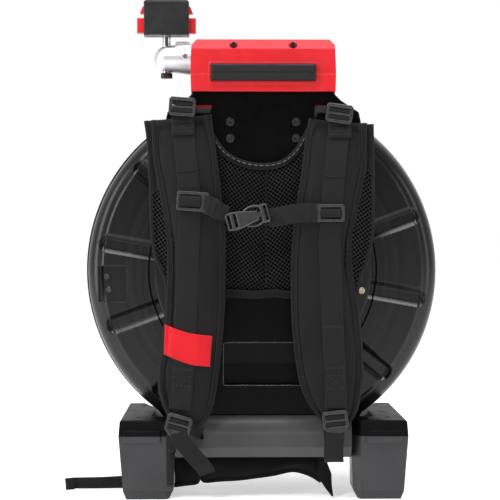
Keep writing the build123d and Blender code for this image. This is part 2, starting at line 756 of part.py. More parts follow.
def right_pad_outline():
    return [(167, 565), (69, 573), (57, 486), (42, 367), (42, 271), (50, 199), (59, 161),
            (75, 125), (100, 106), (135, 118), (144, 147), (150, 199), (144, 257), (133, 343),
            (166, 395), (160, 450), (148, 500)]


def shoulder_pad(outline):
    """Padded shoulder strap, thick and bowed away from the back plate."""
    return slab(outline, -180, -90) & bow(PAD_INNER, PAD_T)


def back_pad():
    """Padded mesh panel on the back plate between the shoulder straps."""
    outline = [(-70, 540), (-35, 510), (0, 500), (35, 515), (66, 543), (62, 420), (40, 310),
               (-60, 300), (-56, 420)]
    return slab(outline, PLATE_REAR - 12, PLATE_REAR - 3.2)


def shoulder_webbing():
    """Webbing down the middle of each shoulder strap."""
    band = bow(PAD_INNER - PAD_T - 0.3, WEB_T)
    straps = []
    for x in (-120, 112):
        straps.append(band & block(x - WEB_W / 2, x + WEB_W / 2, -180, -90, 139, 562))
    return group(straps)


def ladder_lock(width, height):
    """Flat buckle with two slots, facing -Y, centred on the origin."""
    lock = Box(width, 5, height) - Pos(0, 0, height * 0.2) * Box(width - 10, 8, height * 0.22)
    lock -= Pos(0, 0, -height * 0.2) * Box(width - 10, 8, height * 0.22)
    return fillet(lock.edges().filter_by(Axis.Y), 1.5)


def ladder_locks():
    """Adjusters at the upper and lower ends of the shoulder straps."""
    spots = [(-122, -131, 587, 4), (113, -131, 577, 8), (-129, -146, 113, 16), (106, -146, 120, -6)]
    return group([Pos(x, y, z) * Rot(0, turn, 0) * ladder_lock(42, 26) for x, y, z, turn in spots])


def sternum_sliders():
    """Sliders that hold the chest strap on the shoulder webbing."""
    y = STERNUM_Y + 3.4
    return group([Pos(-109, y, 446) * Rot(0, 5, 0) * ladder_lock(42, 28),
                  Pos(99.5, y, 428) * ladder_lock(40, 26)])


def buckle_place():
    return Pos(-24.5, STERNUM_Y, 422) * Rot(0, -15, 0)


def buckle_socket():
    """Receiving half of the chest buckle."""
    body = block(-4, 32, -5, 5, -14, 14) - block(-5, 20, -3, 3, -11, 11)
    body -= block(-5, 12, -3, 3, -15, 15)
    body -= block(24, 28, -6, 6, -11, 11)
    return buckle_place() * fillet(body.edges().filter_by(Axis.Y), 1.2)


def buckle_plug():
    """Plug half of the chest buckle."""
    body = block(-32, -4.4, -4.5, 4.5, -14, 14) - block(-28, -24, -6, 6, -11, 11)
    body += block(-5, 18, -2.6, 2.6, -3, 3)
    return buckle_place() * fillet(body.edges().filter_by(Axis.Y), 1.0)


def buckle_tab(side):
    """Springy side tab of the chest buckle."""
    tab = block(-4.0, 11.6, -2.6, 2.6, min(side * 6, side * 15.5), max(side * 6, side * 15.5))
    return buckle_place() * tab


def sternum_straps():
    """Chest webbing from each slider to the buckle."""
    left = Pos(-71, STERNUM_Y, 431) * Rot(0, 18, 0) * Box(38, 1.6, 27)
    right = Pos(43.5, STERNUM_Y, 429) * Rot(0, -4, 0) * Box(72, 1.6, 27)
    trim = buckle_place() * block(-33, 33, -6, 6, -16, 16)
    return group([left - trim, right - trim])


def hip_belt():
    """Hip belt wings folded under the base beam, and the webbing end that lies beside a foot."""
    outline = [(-132, 58), (132, 58), (120, 18), (30, 26), (-40, 18), (-90, 12), (-128, 10)]
    wings = slab(outline, -96, -84)
    end = slab([(-307, 0.6), (-307, 17), (-284, 19), (-130, 24), (-130, 2)], -28, -26)
    return group([wings, end])


PIECES = {
    "back_plate": back_plate,
    "plate_screws": plate_screws,
    "base_beam": base_beam,
    "right_foot": right_foot,
    "left_foot": lambda: flip(right_foot()),
    "foot_pads": foot_pads,
    "front_beam": front_beam,
    "front_posts": front_posts,
    "nose_plate": nose_plate,
    "nose_collar": nose_collar,
    "feed_lever": feed_lever,
    "cable_tip": cable_tip,
    "guide_tube": guide_tube,
    "axle": axle,
    "hub_cover": hub_cover,
    "cover_screws": cover_screws,
    "drum_rear_shell": drum_rear_shell,
    "drum_front_shell": drum_front_shell,
    "rim_screws": rim_screws,
    "drum_hub": drum_hub,
    "hub_bolts": hub_bolts,
    "drum_bearings": drum_bearings,
    "cable_anchor": cable_anchor,
    "anchor_screws": anchor_screws,
    "cable_coil": cable_coil,
    "housing_upper": housing_upper,
    "housing_lower": housing_lower,
    "housing_screws": housing_screws,
    "bumper": bumper,
    "motor": motor,
    "gearbox": gearbox,
    "drive_shaft": drive_shaft,
    "drive_wheel": drive_wheel,
    "drive_tyre": drive_tyre,
    "control_board": control_board,
    "battery": battery,
    "left_battery_button": lambda: battery_button(-1),
    "right_battery_button": lambda: battery_button(1),
    "power_switch": power_switch,
    "arm_spigot": arm_spigot,
    "arm_casting": arm_casting,
    "arm_screw": arm_screw,
    "head_rod": head_rod,
    "rod_nut": rod_nut,
    "head_block": head_block,
    "left_jaw": lambda: jaw(-1),
    "right_jaw": lambda: jaw(1),
    "jaw_spring": jaw_spring,
    "left_shoulder_pad": lambda: shoulder_pad(left_pad_outline()),
    "right_shoulder_pad": lambda: shoulder_pad(right_pad_outline()),
    "back_pad": back_pad,
    "shoulder_webbing": shoulder_webbing,
    "ladder_locks": ladder_locks,
    "sternum_sliders": sternum_sliders,
    "sternum_straps": sternum_straps,
    "buckle_socket": buckle_socket,
    "buckle_plug": buckle_plug,
    "upper_buckle_tab": lambda: buckle_tab(1),
    "lower_buckle_tab": lambda: buckle_tab(-1),
    "hip_belt": hip_belt,
}


def main():
    os.makedirs("parts", exist_ok=True)
    for name, build in PIECES.items():
        export_step(build(), os.path.join("parts", name + ".step"))


if __name__ == "__main__":
    main()
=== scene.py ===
"""Looks of the backpack drain snake machine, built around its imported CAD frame."""

import json
from math import cos, exp, pi, radians, sin, sqrt

import bmesh
import bpy
from mathutils import Matrix, Vector
from mathutils.bvhtree import BVHTree


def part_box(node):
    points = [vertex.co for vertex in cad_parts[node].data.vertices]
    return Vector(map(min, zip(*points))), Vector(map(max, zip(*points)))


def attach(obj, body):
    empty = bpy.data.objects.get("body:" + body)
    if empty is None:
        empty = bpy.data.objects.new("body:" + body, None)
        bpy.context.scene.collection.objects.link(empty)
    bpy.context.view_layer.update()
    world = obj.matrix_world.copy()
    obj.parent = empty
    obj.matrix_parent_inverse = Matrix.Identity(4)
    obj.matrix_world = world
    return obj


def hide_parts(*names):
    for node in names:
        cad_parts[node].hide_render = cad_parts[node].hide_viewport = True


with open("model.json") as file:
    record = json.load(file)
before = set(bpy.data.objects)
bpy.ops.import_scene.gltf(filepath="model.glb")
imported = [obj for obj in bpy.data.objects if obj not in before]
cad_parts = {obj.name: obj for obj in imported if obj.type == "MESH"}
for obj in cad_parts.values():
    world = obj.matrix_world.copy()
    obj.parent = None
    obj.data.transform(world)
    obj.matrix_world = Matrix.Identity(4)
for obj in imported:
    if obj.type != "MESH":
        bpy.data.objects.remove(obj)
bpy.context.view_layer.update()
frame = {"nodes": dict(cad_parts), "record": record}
NODES = frame["nodes"]
ROOT = "frame"

# ---- camera and light --------------------------------------------------------------------
CAMERA_BACK = 2.275        # from the rear faces of the feet
CAMERA_SIDE = -0.058
CAMERA_HEIGHT = 0.389
FOCAL_PIXELS = 1517.0
FRAME_PIXELS = 500.0
AIM_SIDE, AIM_DOWN = 25.0, 10.0


def corners(name):
    low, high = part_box(name)
    return Vector(low), Vector(high)


def middle(name):
    low, high = corners(name)
    return (low + high) / 2


PAD_LOW = corners("foot_pads")[0]


def make_camera():
    data = bpy.data.cameras.new("camera")
    data.sensor_width = 36.0
    data.lens = 36.0 * FOCAL_PIXELS / FRAME_PIXELS
    data.clip_end = 20.0
    camera = bpy.data.objects.new("camera", data)
    bpy.context.scene.collection.objects.link(camera)
    camera.location = (CAMERA_SIDE, PAD_LOW.y - CAMERA_BACK, CAMERA_HEIGHT)
    aim = Vector((AIM_SIDE, FOCAL_PIXELS, -AIM_DOWN))
    camera.rotation_euler = aim.to_track_quat("-Z", "Y").to_euler()
    bpy.context.scene.camera = camera


def area_light(name, place, target, size, power, tint=(1, 1, 1)):
    data = bpy.data.lights.new(name, "AREA")
    data.shape = "RECTANGLE"
    data.size, data.size_y = size
    data.energy = power
    data.color = tint
    light = bpy.data.objects.new(name, data)
    bpy.context.scene.collection.objects.link(light)
    light.location = place
    light.rotation_euler = (Vector(target) - Vector(place)).to_track_quat("-Z", "Y").to_euler()


def make_stage():
    world = bpy.data.worlds.new("studio")
    bpy.context.scene.world = world
    world.use_nodes = True
    tree = world.node_tree
    split = tree.nodes.new("ShaderNodeSeparateXYZ")
    tree.links.new(tree.nodes.new("ShaderNodeTexCoord").outputs["Generated"], split.inputs[0])
    fade = tree.nodes.new("ShaderNodeMapRange")
    fade.interpolation_type = "SMOOTHSTEP"
    tree.links.new(split.outputs[1], fade.inputs["Value"])
    for socket, number in (("From Min", -0.95), ("From Max", 0.92), ("To Min", 0.07), ("To Max", 1.0)):
        fade.inputs[socket].default_value = number
    tree.links.new(fade.outputs["Result"], tree.nodes["Background"].inputs["Strength"])
    tree.nodes["Background"].inputs["Color"].default_value = (1, 1, 1, 1)
    bm = bmesh.new()
    bmesh.ops.create_grid(bm, x_segments=8, y_segments=8, size=60.0)
    mesh = bpy.data.meshes.new("floor")
    bm.to_mesh(mesh)
    bm.free()
    floor = bpy.data.objects.new("floor", mesh)
    bpy.context.scene.collection.objects.link(floor)
    floor.location.z = -0.0005
    paint = bpy.data.materials.new("pale_floor")
    paint.use_nodes = True
    shader = paint.node_tree.nodes["Principled BSDF"]
    shader.inputs["Base Color"].default_value = (0.93, 0.93, 0.93, 1)
    shader.inputs["Roughness"].default_value = 0.9
    shader.inputs["Emission Color"].default_value = (1, 1, 1, 1)
    shader.inputs["Emission Strength"].default_value = 0.5
    mesh.materials.append(paint)
    area_light("key", (-1.5, -2.0, 2.5), (0, 0, 0.4), (0.8, 0.8), 42)
    area_light("left", (-2.4, -1.0, 0.9), (0, 0, 0.35), (0.5, 2.0), 24)
    area_light("right", (2.5, -1.3, 0.9), (0, 0, 0.35), (0.7, 2.0), 12)
    area_light("top", (0, -0.5, 2.3), (0, 0, 0.3), (2.4, 0.6), 40)
    bpy.context.scene.view_settings.view_transform = "Standard"


# ---- materials ---------------------------------------------------------------------------
class Paint:
    """A node material: Principled shader plus short helpers for procedural inputs."""

    def __init__(self, name, color, roughness, metallic=0.0, specular=0.5):
        self.material = bpy.data.materials.new(name)
        self.material.use_nodes = True
        self.tree = self.material.node_tree
        self.shader = self.tree.nodes["Principled BSDF"]
        self.set("Base Color", (*color, 1))
        self.set("Roughness", roughness)
        self.set("Metallic", metallic)
        self.set("Specular IOR Level", specular)
        self.place = self.node("ShaderNodeTexCoord").outputs["Object"]
        self.normal = None

    def soften(self, radius):
        """Rounds sharp CAD edges in the shading."""
        bevel = self.node("ShaderNodeBevel", samples=4)
        bevel.inputs["Radius"].default_value = radius
        self.normal = bevel.outputs[0]
        self.link(self.normal, self.shader.inputs["Normal"])

    def set(self, socket, value):
        self.shader.inputs[socket].default_value = value

    def node(self, kind, **values):
        made = self.tree.nodes.new(kind)
        for key, value in values.items():
            setattr(made, key, value)
        return made

    def link(self, source, target):
        self.tree.links.new(source, target)

    def math(self, operation, first, second=0.0, third=None):
        made = self.node("ShaderNodeMath", operation=operation)
        for k, value in enumerate((first, second, third)):
            if value is None:
                continue
            if isinstance(value, (int, float)):
                made.inputs[k].default_value = value
            else:
                self.link(value, made.inputs[k])
        return made.outputs[0]

    def axes(self):
        split = self.node("ShaderNodeSeparateXYZ")
        self.link(self.place, split.inputs[0])
        return split.outputs

    def noise(self, scale, detail=3.0, stretch=None, rough=0.5):
        texture = self.node("ShaderNodeTexNoise")
        texture.inputs["Scale"].default_value = scale
        texture.inputs["Detail"].default_value = detail
        texture.inputs["Roughness"].default_value = rough
        self.link(self.stretched(stretch), texture.inputs["Vector"])
        return texture.outputs["Fac"]

    def stretched(self, stretch):
        if stretch is None:
            return self.place
        mapping = self.node("ShaderNodeMapping")
        mapping.inputs["Scale"].default_value = stretch
        self.link(self.place, mapping.inputs["Vector"])
        return mapping.outputs["Vector"]

    def ramp(self, value, low, high, out_low, out_high):
        made = self.node("ShaderNodeMapRange")
        self.link(value, made.inputs["Value"])
        for socket, number in (("From Min", low), ("From Max", high), ("To Min", out_low),
                               ("To Max", out_high)):
            made.inputs[socket].default_value = number
        return made.outputs["Result"]

    def mix(self, factor, first, second):
        made = self.node("ShaderNodeMix", data_type="RGBA")
        self.link(factor, made.inputs["Factor"])
        for socket, value in ((made.inputs[6], first), (made.inputs[7], second)):
            if isinstance(value, tuple):
                socket.default_value = (*value, 1)
            else:
                self.link(value, socket)
        return made.outputs[2]

    def color(self, value):
        self.link(value, self.shader.inputs["Base Color"])

    def rough(self, value):
        self.link(value, self.shader.inputs["Roughness"])

    def bump(self, height, distance, strength=1.0):
        made = self.node("ShaderNodeBump")
        made.inputs["Strength"].default_value = strength
        made.inputs["Distance"].default_value = distance
        self.link(height, made.inputs["Height"])
        if self.normal is not None:
            self.link(self.normal, made.inputs["Normal"])
        self.normal = made.outputs["Normal"]
        self.link(self.normal, self.shader.inputs["Normal"])


def moulded(name, color, roughness, grain=900.0, depth=0.00006, light=1.25, specular=0.5, edge=0.0015):
    """Moulded plastic with a fine grain, soft colour drift and rounded edges."""
    paint = Paint(name, color, roughness, specular=specular)
    paint.soften(edge)
    drift = paint.noise(9.0, 4.0)
    paler = tuple(min(1.0, c * light) for c in color)
    darker = tuple(c * 0.86 for c in color)
    paint.color(paint.mix(paint.ramp(drift, 0.3, 0.7, 0.0, 1.0), darker, paler))
    paint.rough(paint.ramp(paint.noise(60.0, 3.0), 0.3, 0.7, roughness - 0.05, roughness + 0.07))
    paint.bump(paint.noise(grain, 2.0), depth)
    return paint.material


def metal(name, color, roughness, grain=(1, 1, 1), depth=0.00003, scale=500.0):
    """Bare metal with directional grain."""
    paint = Paint(name, color, roughness, metallic=1.0)
    paint.soften(0.0008)
    grit = paint.noise(scale, 4.0, grain)
    paint.rough(paint.ramp(grit, 0.3, 0.7, roughness - 0.08, roughness + 0.1))
    paint.bump(grit, depth)
    return paint.material


AXIS = middle("axle")


def drum_paint():
    """Gloss black moulding with fine rings turned around the drum's axis."""
    paint = Paint("drum_black", (0.012, 0.012, 0.013), 0.3, specular=0.32)
    paint.soften(0.003)
    out = paint.axes()
    up = paint.math("SUBTRACT", out[2], AXIS.z)
    radius = paint.math("SQRT", paint.math("ADD", paint.math("MULTIPLY", out[0], out[0]),
                                           paint.math("MULTIPLY", up, up)))
    spread = paint.node("ShaderNodeCombineXYZ")
    paint.link(radius, spread.inputs[0])
    fine = paint.node("ShaderNodeTexNoise")
    fine.inputs["Scale"].default_value = 700.0
    fine.inputs["Detail"].default_value = 3.0
    paint.link(spread.outputs[0], fine.inputs["Vector"])
    broad = paint.node("ShaderNodeTexNoise")
    broad.inputs["Scale"].default_value = 90.0
    paint.link(spread.outputs[0], broad.inputs["Vector"])
    paint.color(paint.mix(paint.ramp(broad.outputs["Fac"], 0.35, 0.65, 0.0, 1.0),
                          (0.004, 0.004, 0.0042), (0.011, 0.011, 0.0115)))
    paint.rough(paint.ramp(fine.outputs["Fac"], 0.3, 0.7, 0.17, 0.3))
    panel = paint.math("MULTIPLY", paint.ramp(radius, 0.2450, 0.2485, 1.0, 0.0),
                       paint.ramp(radius, 0.1740, 0.1765, 0.0, 1.0))
    paint.bump(panel, 0.0022)
    paint.bump(fine.outputs["Fac"], 0.00005, 0.7)
    paint.bump(paint.noise(1200.0, 2.0), 0.00002, 0.5)
    return paint.material


def webbing_paint(name="webbing", across=0.0011, along=0.0022, color=(0.0085, 0.0085, 0.009)):
    """Woven strap: ribs along the strap crossed by the weft, with painted shade in the weave's hollows.
    Uses the strap's UV map.
    """
    paint = Paint(name, color, 0.7, specular=0.18)
    paint.set("Sheen Weight", 0.05)
    uv = paint.node("ShaderNodeTexCoord").outputs["UV"]
    split = paint.node("ShaderNodeSeparateXYZ")
    paint.link(uv, split.inputs[0])
    rib = paint.math("SINE", paint.math("MULTIPLY", split.outputs[0], 2 * pi / across))
    shift = paint.math("MULTIPLY", paint.math("SIGN", rib), along / 4)
    weft = paint.math("SINE", paint.math("MULTIPLY", paint.math("ADD", split.outputs[1], shift),
                                         2 * pi / along))
    height = paint.math("ADD", paint.math("ABSOLUTE", rib), paint.math("MULTIPLY", weft, 0.6))
    # Colour follows the weave height: painted shade in its hollows, painted highlight on its ridges.
    paint.color(paint.mix(paint.ramp(height, 0.0, 1.4, 0.0, 1.0),
                          tuple(c * 0.55 for c in color), tuple(c * 1.35 for c in color)))
    paint.bump(height, 0.00022)
    return paint.material


def cordura_paint(name="pad_fabric", color=(0.0078, 0.0078, 0.0082), thread=0.0009):
    """Plain-woven nylon: crossed threads, painted darker where they dip as shade, with slight slubs and a
    soft sheen.
    """
    paint = Paint(name, color, 0.82, specular=0.15)
    paint.set("Sheen Weight", 0.05)
    paint.set("Sheen Roughness", 0.5)
    out = paint.axes()
    wobble = paint.math("MULTIPLY", paint.noise(60.0, 2.0), thread * 1.5)
    warp = paint.math("SINE", paint.math("MULTIPLY", paint.math("ADD", out[0], wobble),
                                         2 * pi / thread))
    weft = paint.math("SINE", paint.math("MULTIPLY", paint.math("ADD", out[2], wobble),
                                         2 * pi / thread))
    height = paint.math("MULTIPLY", warp, weft)
    drift = paint.noise(14.0, 5.0)
    # Colour mixes painted shade where the crossed threads dip with a random drift in tone.
    shade = paint.math("ADD", paint.ramp(height, -1, 1, 0.0, 0.45),
                       paint.ramp(drift, 0.3, 0.7, 0.0, 0.55))
    paint.color(paint.mix(shade, tuple(c * 0.72 for c in color), tuple(c * 1.3 for c in color)))
    paint.bump(height, 0.00012)
    paint.bump(drift, 0.0006, 0.4)
    return paint.material


def mesh_paint(name="air_mesh", lean=0.6, pitch=0.0046, color=(0.0065, 0.0065, 0.007)):
    """Spacer mesh: rows of open cells between raised knitted threads, leaning one way; the cells are
    painted black as shade.
    """
    paint = Paint(name, color, 0.8)
    out = paint.axes()
    first = paint.math("ADD", paint.math("MULTIPLY", out[0], cos(lean)),
                       paint.math("MULTIPLY", out[2], sin(lean)))
    second = paint.math("SUBTRACT", paint.math("MULTIPLY", out[2], cos(lean)),
                        paint.math("MULTIPLY", out[0], sin(lean)))
    wave_a = paint.math("SINE", paint.math("MULTIPLY", first, 2 * pi / pitch))
    wave_b = paint.math("SINE", paint.math("MULTIPLY", second, 2 * pi / (pitch * 1.12)))
    height = paint.ramp(paint.math("ADD", wave_a, wave_b), 0.7, 0.0, 0.0, 1.0)
    # The open cells are painted black with no specular, as painted shade inside them.
    paint.color(paint.mix(height, (0.0, 0.0, 0.0), tuple(c * 1.7 for c in color)))
    paint.link(paint.ramp(height, 0.2, 1.0, 0.0, 0.16), paint.shader.inputs["Specular IOR Level"])
    paint.bump(height, 0.0016)
    paint.bump(paint.noise(1500.0, 2.0), 0.00015)
    return paint.material


def rubber_paint(name, color=(0.009, 0.009, 0.009)):
    paint = Paint(name, color, 0.6, specular=0.3)
    paint.rough(paint.ramp(paint.noise(40.0, 4.0), 0.3, 0.7, 0.5, 0.72))
    paint.bump(paint.noise(1500.0, 2.0), 0.00005)
    return paint.material


def foot_paint(name="foot_plastic"):
    """Grey moulding, coloured near-black above the split line, with less specular there and none above 120
    mm.
    """
    paint = Paint(name, (0.05, 0.05, 0.053), 0.42, specular=0.22)
    paint.soften(0.003)
    height = paint.axes()[2]
    wave = paint.math("MULTIPLY", paint.noise(40.0, 2.0), 0.0004)
    # cap here only marks the band above the split line, which is coloured near-black; no separate cap part
    # is modelled.
    cap = paint.ramp(paint.math("ADD", height, wave), 0.0940, 0.0946, 0.0, 1.0)
    drift = paint.ramp(paint.noise(9.0, 4.0), 0.3, 0.7, 0.0, 1.0)
    body = paint.mix(drift, (0.034, 0.034, 0.036), (0.046, 0.046, 0.049))
    dark = paint.mix(drift, (0.0025, 0.0025, 0.003), (0.005, 0.005, 0.0055))
    paint.color(paint.mix(cap, body, dark))
    shine = paint.math("MULTIPLY", paint.ramp(cap, 0.0, 1.0, 0.22, 0.05),
                       paint.ramp(height, 0.116, 0.120, 1.0, 0.0))
    paint.link(shine, paint.shader.inputs["Specular IOR Level"])
    paint.rough(paint.ramp(paint.noise(60.0, 3.0), 0.3, 0.7, 0.3, 0.42))
    paint.bump(paint.noise(800.0, 2.0), 0.00006)
    return paint.material


PAINTS = {
    "black_moulding": drum_paint(),
    "plate_black": moulded("plate_black", (0.002, 0.002, 0.0022), 0.3, 1400.0, 0.00003, specular=0.07,
                           edge=0.002),
    "foot_plastic": moulded("foot_plastic", (0.042, 0.042, 0.044), 0.42, 800.0, 0.00006, specular=0.35,
                            edge=0.003),
    "black_rubber": rubber_paint("black_rubber"),
    "red_plastic": moulded("red_plastic", (0.6, 0.011, 0.018), 0.34, 700.0, 0.00004, 1.12, edge=0.002),
    "black_plastic": moulded("black_plastic", (0.012, 0.012, 0.0125), 0.4, 900.0, 0.00006, specular=0.4,
                             edge=0.001),
    "cast_aluminium": metal("cast_aluminium", (0.68, 0.69, 0.71), 0.42, scale=900.0, depth=0.00004),
    "steel": metal("steel", (0.6, 0.6, 0.62), 0.2, (1, 1, 0.05)),
    "nickel_screw": metal("nickel_screw", (0.55, 0.47, 0.36), 0.28),
    "black_screw": moulded("black_screw", (0.02, 0.02, 0.021), 0.25, 900.0, 0.00003, specular=0.6,
                           edge=0.0005),
    "circuit": moulded("circuit", (0.02, 0.14, 0.06), 0.4),
    "cable_steel": metal("cable_steel", (0.4, 0.4, 0.41), 0.35, (1, 1, 1)),
    "buckle_plastic": moulded("buckle_plastic", (0.02, 0.02, 0.021), 0.28, 900.0, 0.00003, specular=0.6,
                              edge=0.0004),
    "pad_fabric": cordura_paint(),
    "mesh_fabric": mesh_paint(),
    "webbing": webbing_paint(),
}


OWN_PAINTS = {
    "anchor_screws": metal("dark_screw", (0.10, 0.10, 0.105), 0.25),
    "plate_screws": metal("plate_screw", (0.07, 0.07, 0.072), 0.3),
    "left_foot": foot_paint("foot_left_paint"),
    "right_foot": foot_paint("foot_right_paint"),
    "foot_pads": moulded("foot_rubber", (0.036, 0.036, 0.038), 0.6, 1200.0, 0.00008, specular=0.25,
                         edge=0.002),
}


def paint_frame():
    """Every CAD node gets the finish of its material slot, or its own paint where one is listed."""
    for row in frame["record"]["subparts"]:
        node = NODES[row["node"]]
        node.data.materials.clear()
        node.data.materials.append(OWN_PAINTS.get(row["node"], PAINTS[row["material_slot"]]))


# ---- mesh helpers ------------------------------------------------------------------------
def piece(name, verts, faces, paint, uvs=None, smooth=True, body=ROOT):
    """New mesh object that rides on a body."""
    mesh = bpy.data.meshes.new(name)
    mesh.from_pydata([tuple(v) for v in verts], [], faces)
    if uvs is not None:
        layer = mesh.uv_layers.new(name="UVMap")
        for loop in mesh.loops:
            layer.data[loop.index].uv = uvs[loop.vertex_index]
    bm = bmesh.new()
    bm.from_mesh(mesh)
    bmesh.ops.recalc_face_normals(bm, faces=bm.faces)
    bm.to_mesh(mesh)
    bm.free()
    mesh.polygons.foreach_set("use_smooth", [smooth] * len(mesh.polygons))
    made = bpy.data.objects.new(name, mesh)
    bpy.context.scene.collection.objects.link(made)
    mesh.materials.append(PAINTS[paint] if isinstance(paint, str) else paint)
    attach(made, body)
    return made


def tree_of(made):
    mesh = made.data
    return BVHTree.FromPolygons([v.co for v in mesh.vertices],
                                [tuple(p.vertices) for p in mesh.polygons])


def front_of(trees, x, z, fallback=0.0):
    """Y of the nearest surface seen from the wearer's side at x and z."""
    hits = [tree.ray_cast(Vector((x, -0.5, z)), Vector((0, 1, 0)))[0] for tree in trees]
    found = [hit.y for hit in hits if hit is not None]
    return min(found) if found else fallback


def smooth_line(points, count):
    """Catmull-Rom curve through the points, resampled to equal steps."""
    points = [Vector(p) for p in points]
    padded = [points[0] * 2 - points[1], *points, points[-1] * 2 - points[-2]]
    fine = []
    for k in range(1, len(padded) - 2):
        a, b, c, d = padded[k - 1:k + 3]
        for i in range(16):
            t = i / 16
            fine.append(0.5 * (2 * b + (c - a) * t + (2 * a - 5 * b + 4 * c - d) * t * t
                               + (3 * b - a - 3 * c + d) * t ** 3))
    fine.append(points[-1])
    lengths = [0.0]
    for a, b in zip(fine, fine[1:]):
        lengths.append(lengths[-1] + (b - a).length)
    out, k = [], 0
    for i in range(count):
        goal = lengths[-1] * i / (count - 1)
        while k < len(fine) - 2 and lengths[k + 1] < goal:
            k += 1
        span = lengths[k + 1] - lengths[k]
        out.append(fine[k].lerp(fine[k + 1], (goal - lengths[k]) / span if span else 0.0))
    return out


def tube_data(points, radius, sides=8, flat=1.0, facing=Vector((0, -1, 0))):
    """Vertices and faces of a closed tube along points; flat squeezes it towards facing."""
    verts, faces = [], []
    count = len(points)
    for k, point in enumerate(points):
        along = (points[min(k + 1, count - 1)] - points[max(k - 1, 0)]).normalized()
        side = along.cross(facing).normalized()
        out = side.cross(along).normalized()
        for i in range(sides):
            a = 2 * pi * i / sides
            verts.append(point + side * (radius * cos(a)) + out * (radius * flat * sin(a)))
    for k in range(count - 1):
        for i in range(sides):
            j = (i + 1) % sides
            faces.append((k * sides + i, k * sides + j, (k + 1) * sides + j, (k + 1) * sides + i))
    faces.append(tuple(range(sides - 1, -1, -1)))
    faces.append(tuple(range((count - 1) * sides, count * sides)))
    return verts, faces


def tube(name, points, radius, paint, sides=8, flat=1.0, facing=Vector((0, -1, 0))):
    verts, faces = tube_data(points, radius, sides, flat, facing)
    return piece(name, verts, faces, paint)


def joined(name, chunks, paint, smooth=True):
    """One object from many (verts, faces) chunks."""
    verts, faces = [], []
    for chunk_verts, chunk_faces in chunks:
        base = len(verts)
        verts += chunk_verts
        faces += [tuple(i + base for i in face) for face in chunk_faces]
    return piece(name, verts, faces, paint, smooth=smooth)


def ribbon(name, points, width, thick, paint="webbing", across=None, widths=None):
    """Webbing strap: rounded flat section swept along points, with UVs in metres."""
    section = [(-0.5, 0), (-0.485, 0.35), (-0.45, 0.5), (-0.25, 0.5), (0, 0.5), (0.25, 0.5),
               (0.45, 0.5),
               (0.485, 0.35), (0.5, 0), (0.485, -0.35), (0.45, -0.5), (0, -0.5), (-0.45, -0.5),
               (-0.485, -0.35)]
    verts, uvs, faces = [], [], []
    count, size, run = len(points), len(section), 0.0
    for k, point in enumerate(points):
        along = (points[min(k + 1, count - 1)] - points[max(k - 1, 0)]).normalized()
        side = Vector(across[k]) if across is not None else Vector((1, 0, 0))
        side = (side - along * side.dot(along)).normalized()
        out = side.cross(along).normalized()
        wide = widths[k] if widths is not None else width
        if k:
            run += (point - points[k - 1]).length
        for u, v in section:
            verts.append(point + side * (u * wide) + out * (v * thick))
            uvs.append((u * wide, run))
    for k in range(count - 1):
        for i in range(size):
            j = (i + 1) % size
            faces.append((k * size + i, k * size + j, (k + 1) * size + j, (k + 1) * size + i))
    faces.append(tuple(range(size - 1, -1, -1)))
    faces.append(tuple(range((count - 1) * size, count * size)))
    return piece(name, verts, faces, paint, uvs)


def dashes(name, lines, paint, step=0.0042, length=0.003, radius=0.00034):
    """Thread stitches along conformed lines."""
    chunks = []
    for line in lines:
        total = sum((b - a).length for a, b in zip(line, line[1:]))
        count = max(2, int(total / step))
        spots = smooth_line(line, count * 2)
        for k in range(count):
            a = spots[2 * k]
            b = spots[min(2 * k + 1, len(spots) - 1)]
            if (b - a).length < 1e-6:
                continue
            reach = (b - a).normalized() * length
            lift = Vector((0, -radius * 0.8, 0))
            chunks.append(tube_data([a, a + reach * 0.5 + lift, a + reach], radius, 5))
    return joined(name, chunks, paint)


def plate(name, outline, holes, thick, place, paint, bevel=0.0008, body=ROOT):
    """Flat moulded plate with rounded edges, from outlines in its own X and Y, facing its +Z."""
    curve = bpy.data.curves.new(name, "CURVE")
    curve.dimensions = "2D"
    curve.fill_mode = "BOTH"
    curve.extrude = thick / 2 - bevel
    curve.bevel_depth = bevel
    curve.bevel_resolution = 2
    curve.offset = -bevel
    for loop in [outline, *holes]:
        line = curve.splines.new("POLY")
        line.points.add(len(loop) - 1)
        for point, (x, y) in zip(line.points, loop):
            point.co = (x, y, 0, 1)
        line.use_cyclic_u = True
    holder = bpy.data.objects.new(name + "_curve", curve)
    bpy.context.scene.collection.objects.link(holder)
    bpy.context.view_layer.update()
    mesh = bpy.data.meshes.new_from_object(holder.evaluated_get(bpy.context.evaluated_depsgraph_get()))
    bpy.data.objects.remove(holder)
    mesh.transform(place)
    made = bpy.data.objects.new(name, mesh)
    mesh.name = name
    bpy.context.scene.collection.objects.link(made)
    mesh.materials.clear()
    mesh.materials.append(PAINTS[paint] if isinstance(paint, str) else paint)
    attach(made, body)
    return made


def round_rect(wide, high, r, cx=0.0, cy=0.0, steps=5):
    """Rounded rectangle around a middle."""
    loop = []
    for sx, sy, start in ((1, 1, 0), (-1, 1, 90), (-1, -1, 180), (1, -1, 270)):
        for k in range(steps + 1):
            a = radians(start + 90 * k / steps)
            loop.append((cx + sx * (wide / 2 - r) + r * cos(a), cy + sy * (high / 2 - r) + r * sin(a)))
    return loop


def facing_wearer(x, y, z, turn=0.0, tip=0.0):
    """Places a plate's +Z towards -Y, turned clockwise as the wearer's side sees it."""
    return (Matrix.Translation((x, y, z)) @ Matrix.Rotation(radians(turn), 4, "Y")
            @ Matrix.Rotation(radians(90 + tip), 4, "X"))


# ---- shoulder pads -----------------------------------------------------------------------
RIMS = (0.0, 0.0012, 0.0035, 0.007, 0.0088, 0.0106, 0.013, 0.017, 0.023, 0.031)
CHANNEL = 0.0088           # stitched channel beside the bound edge


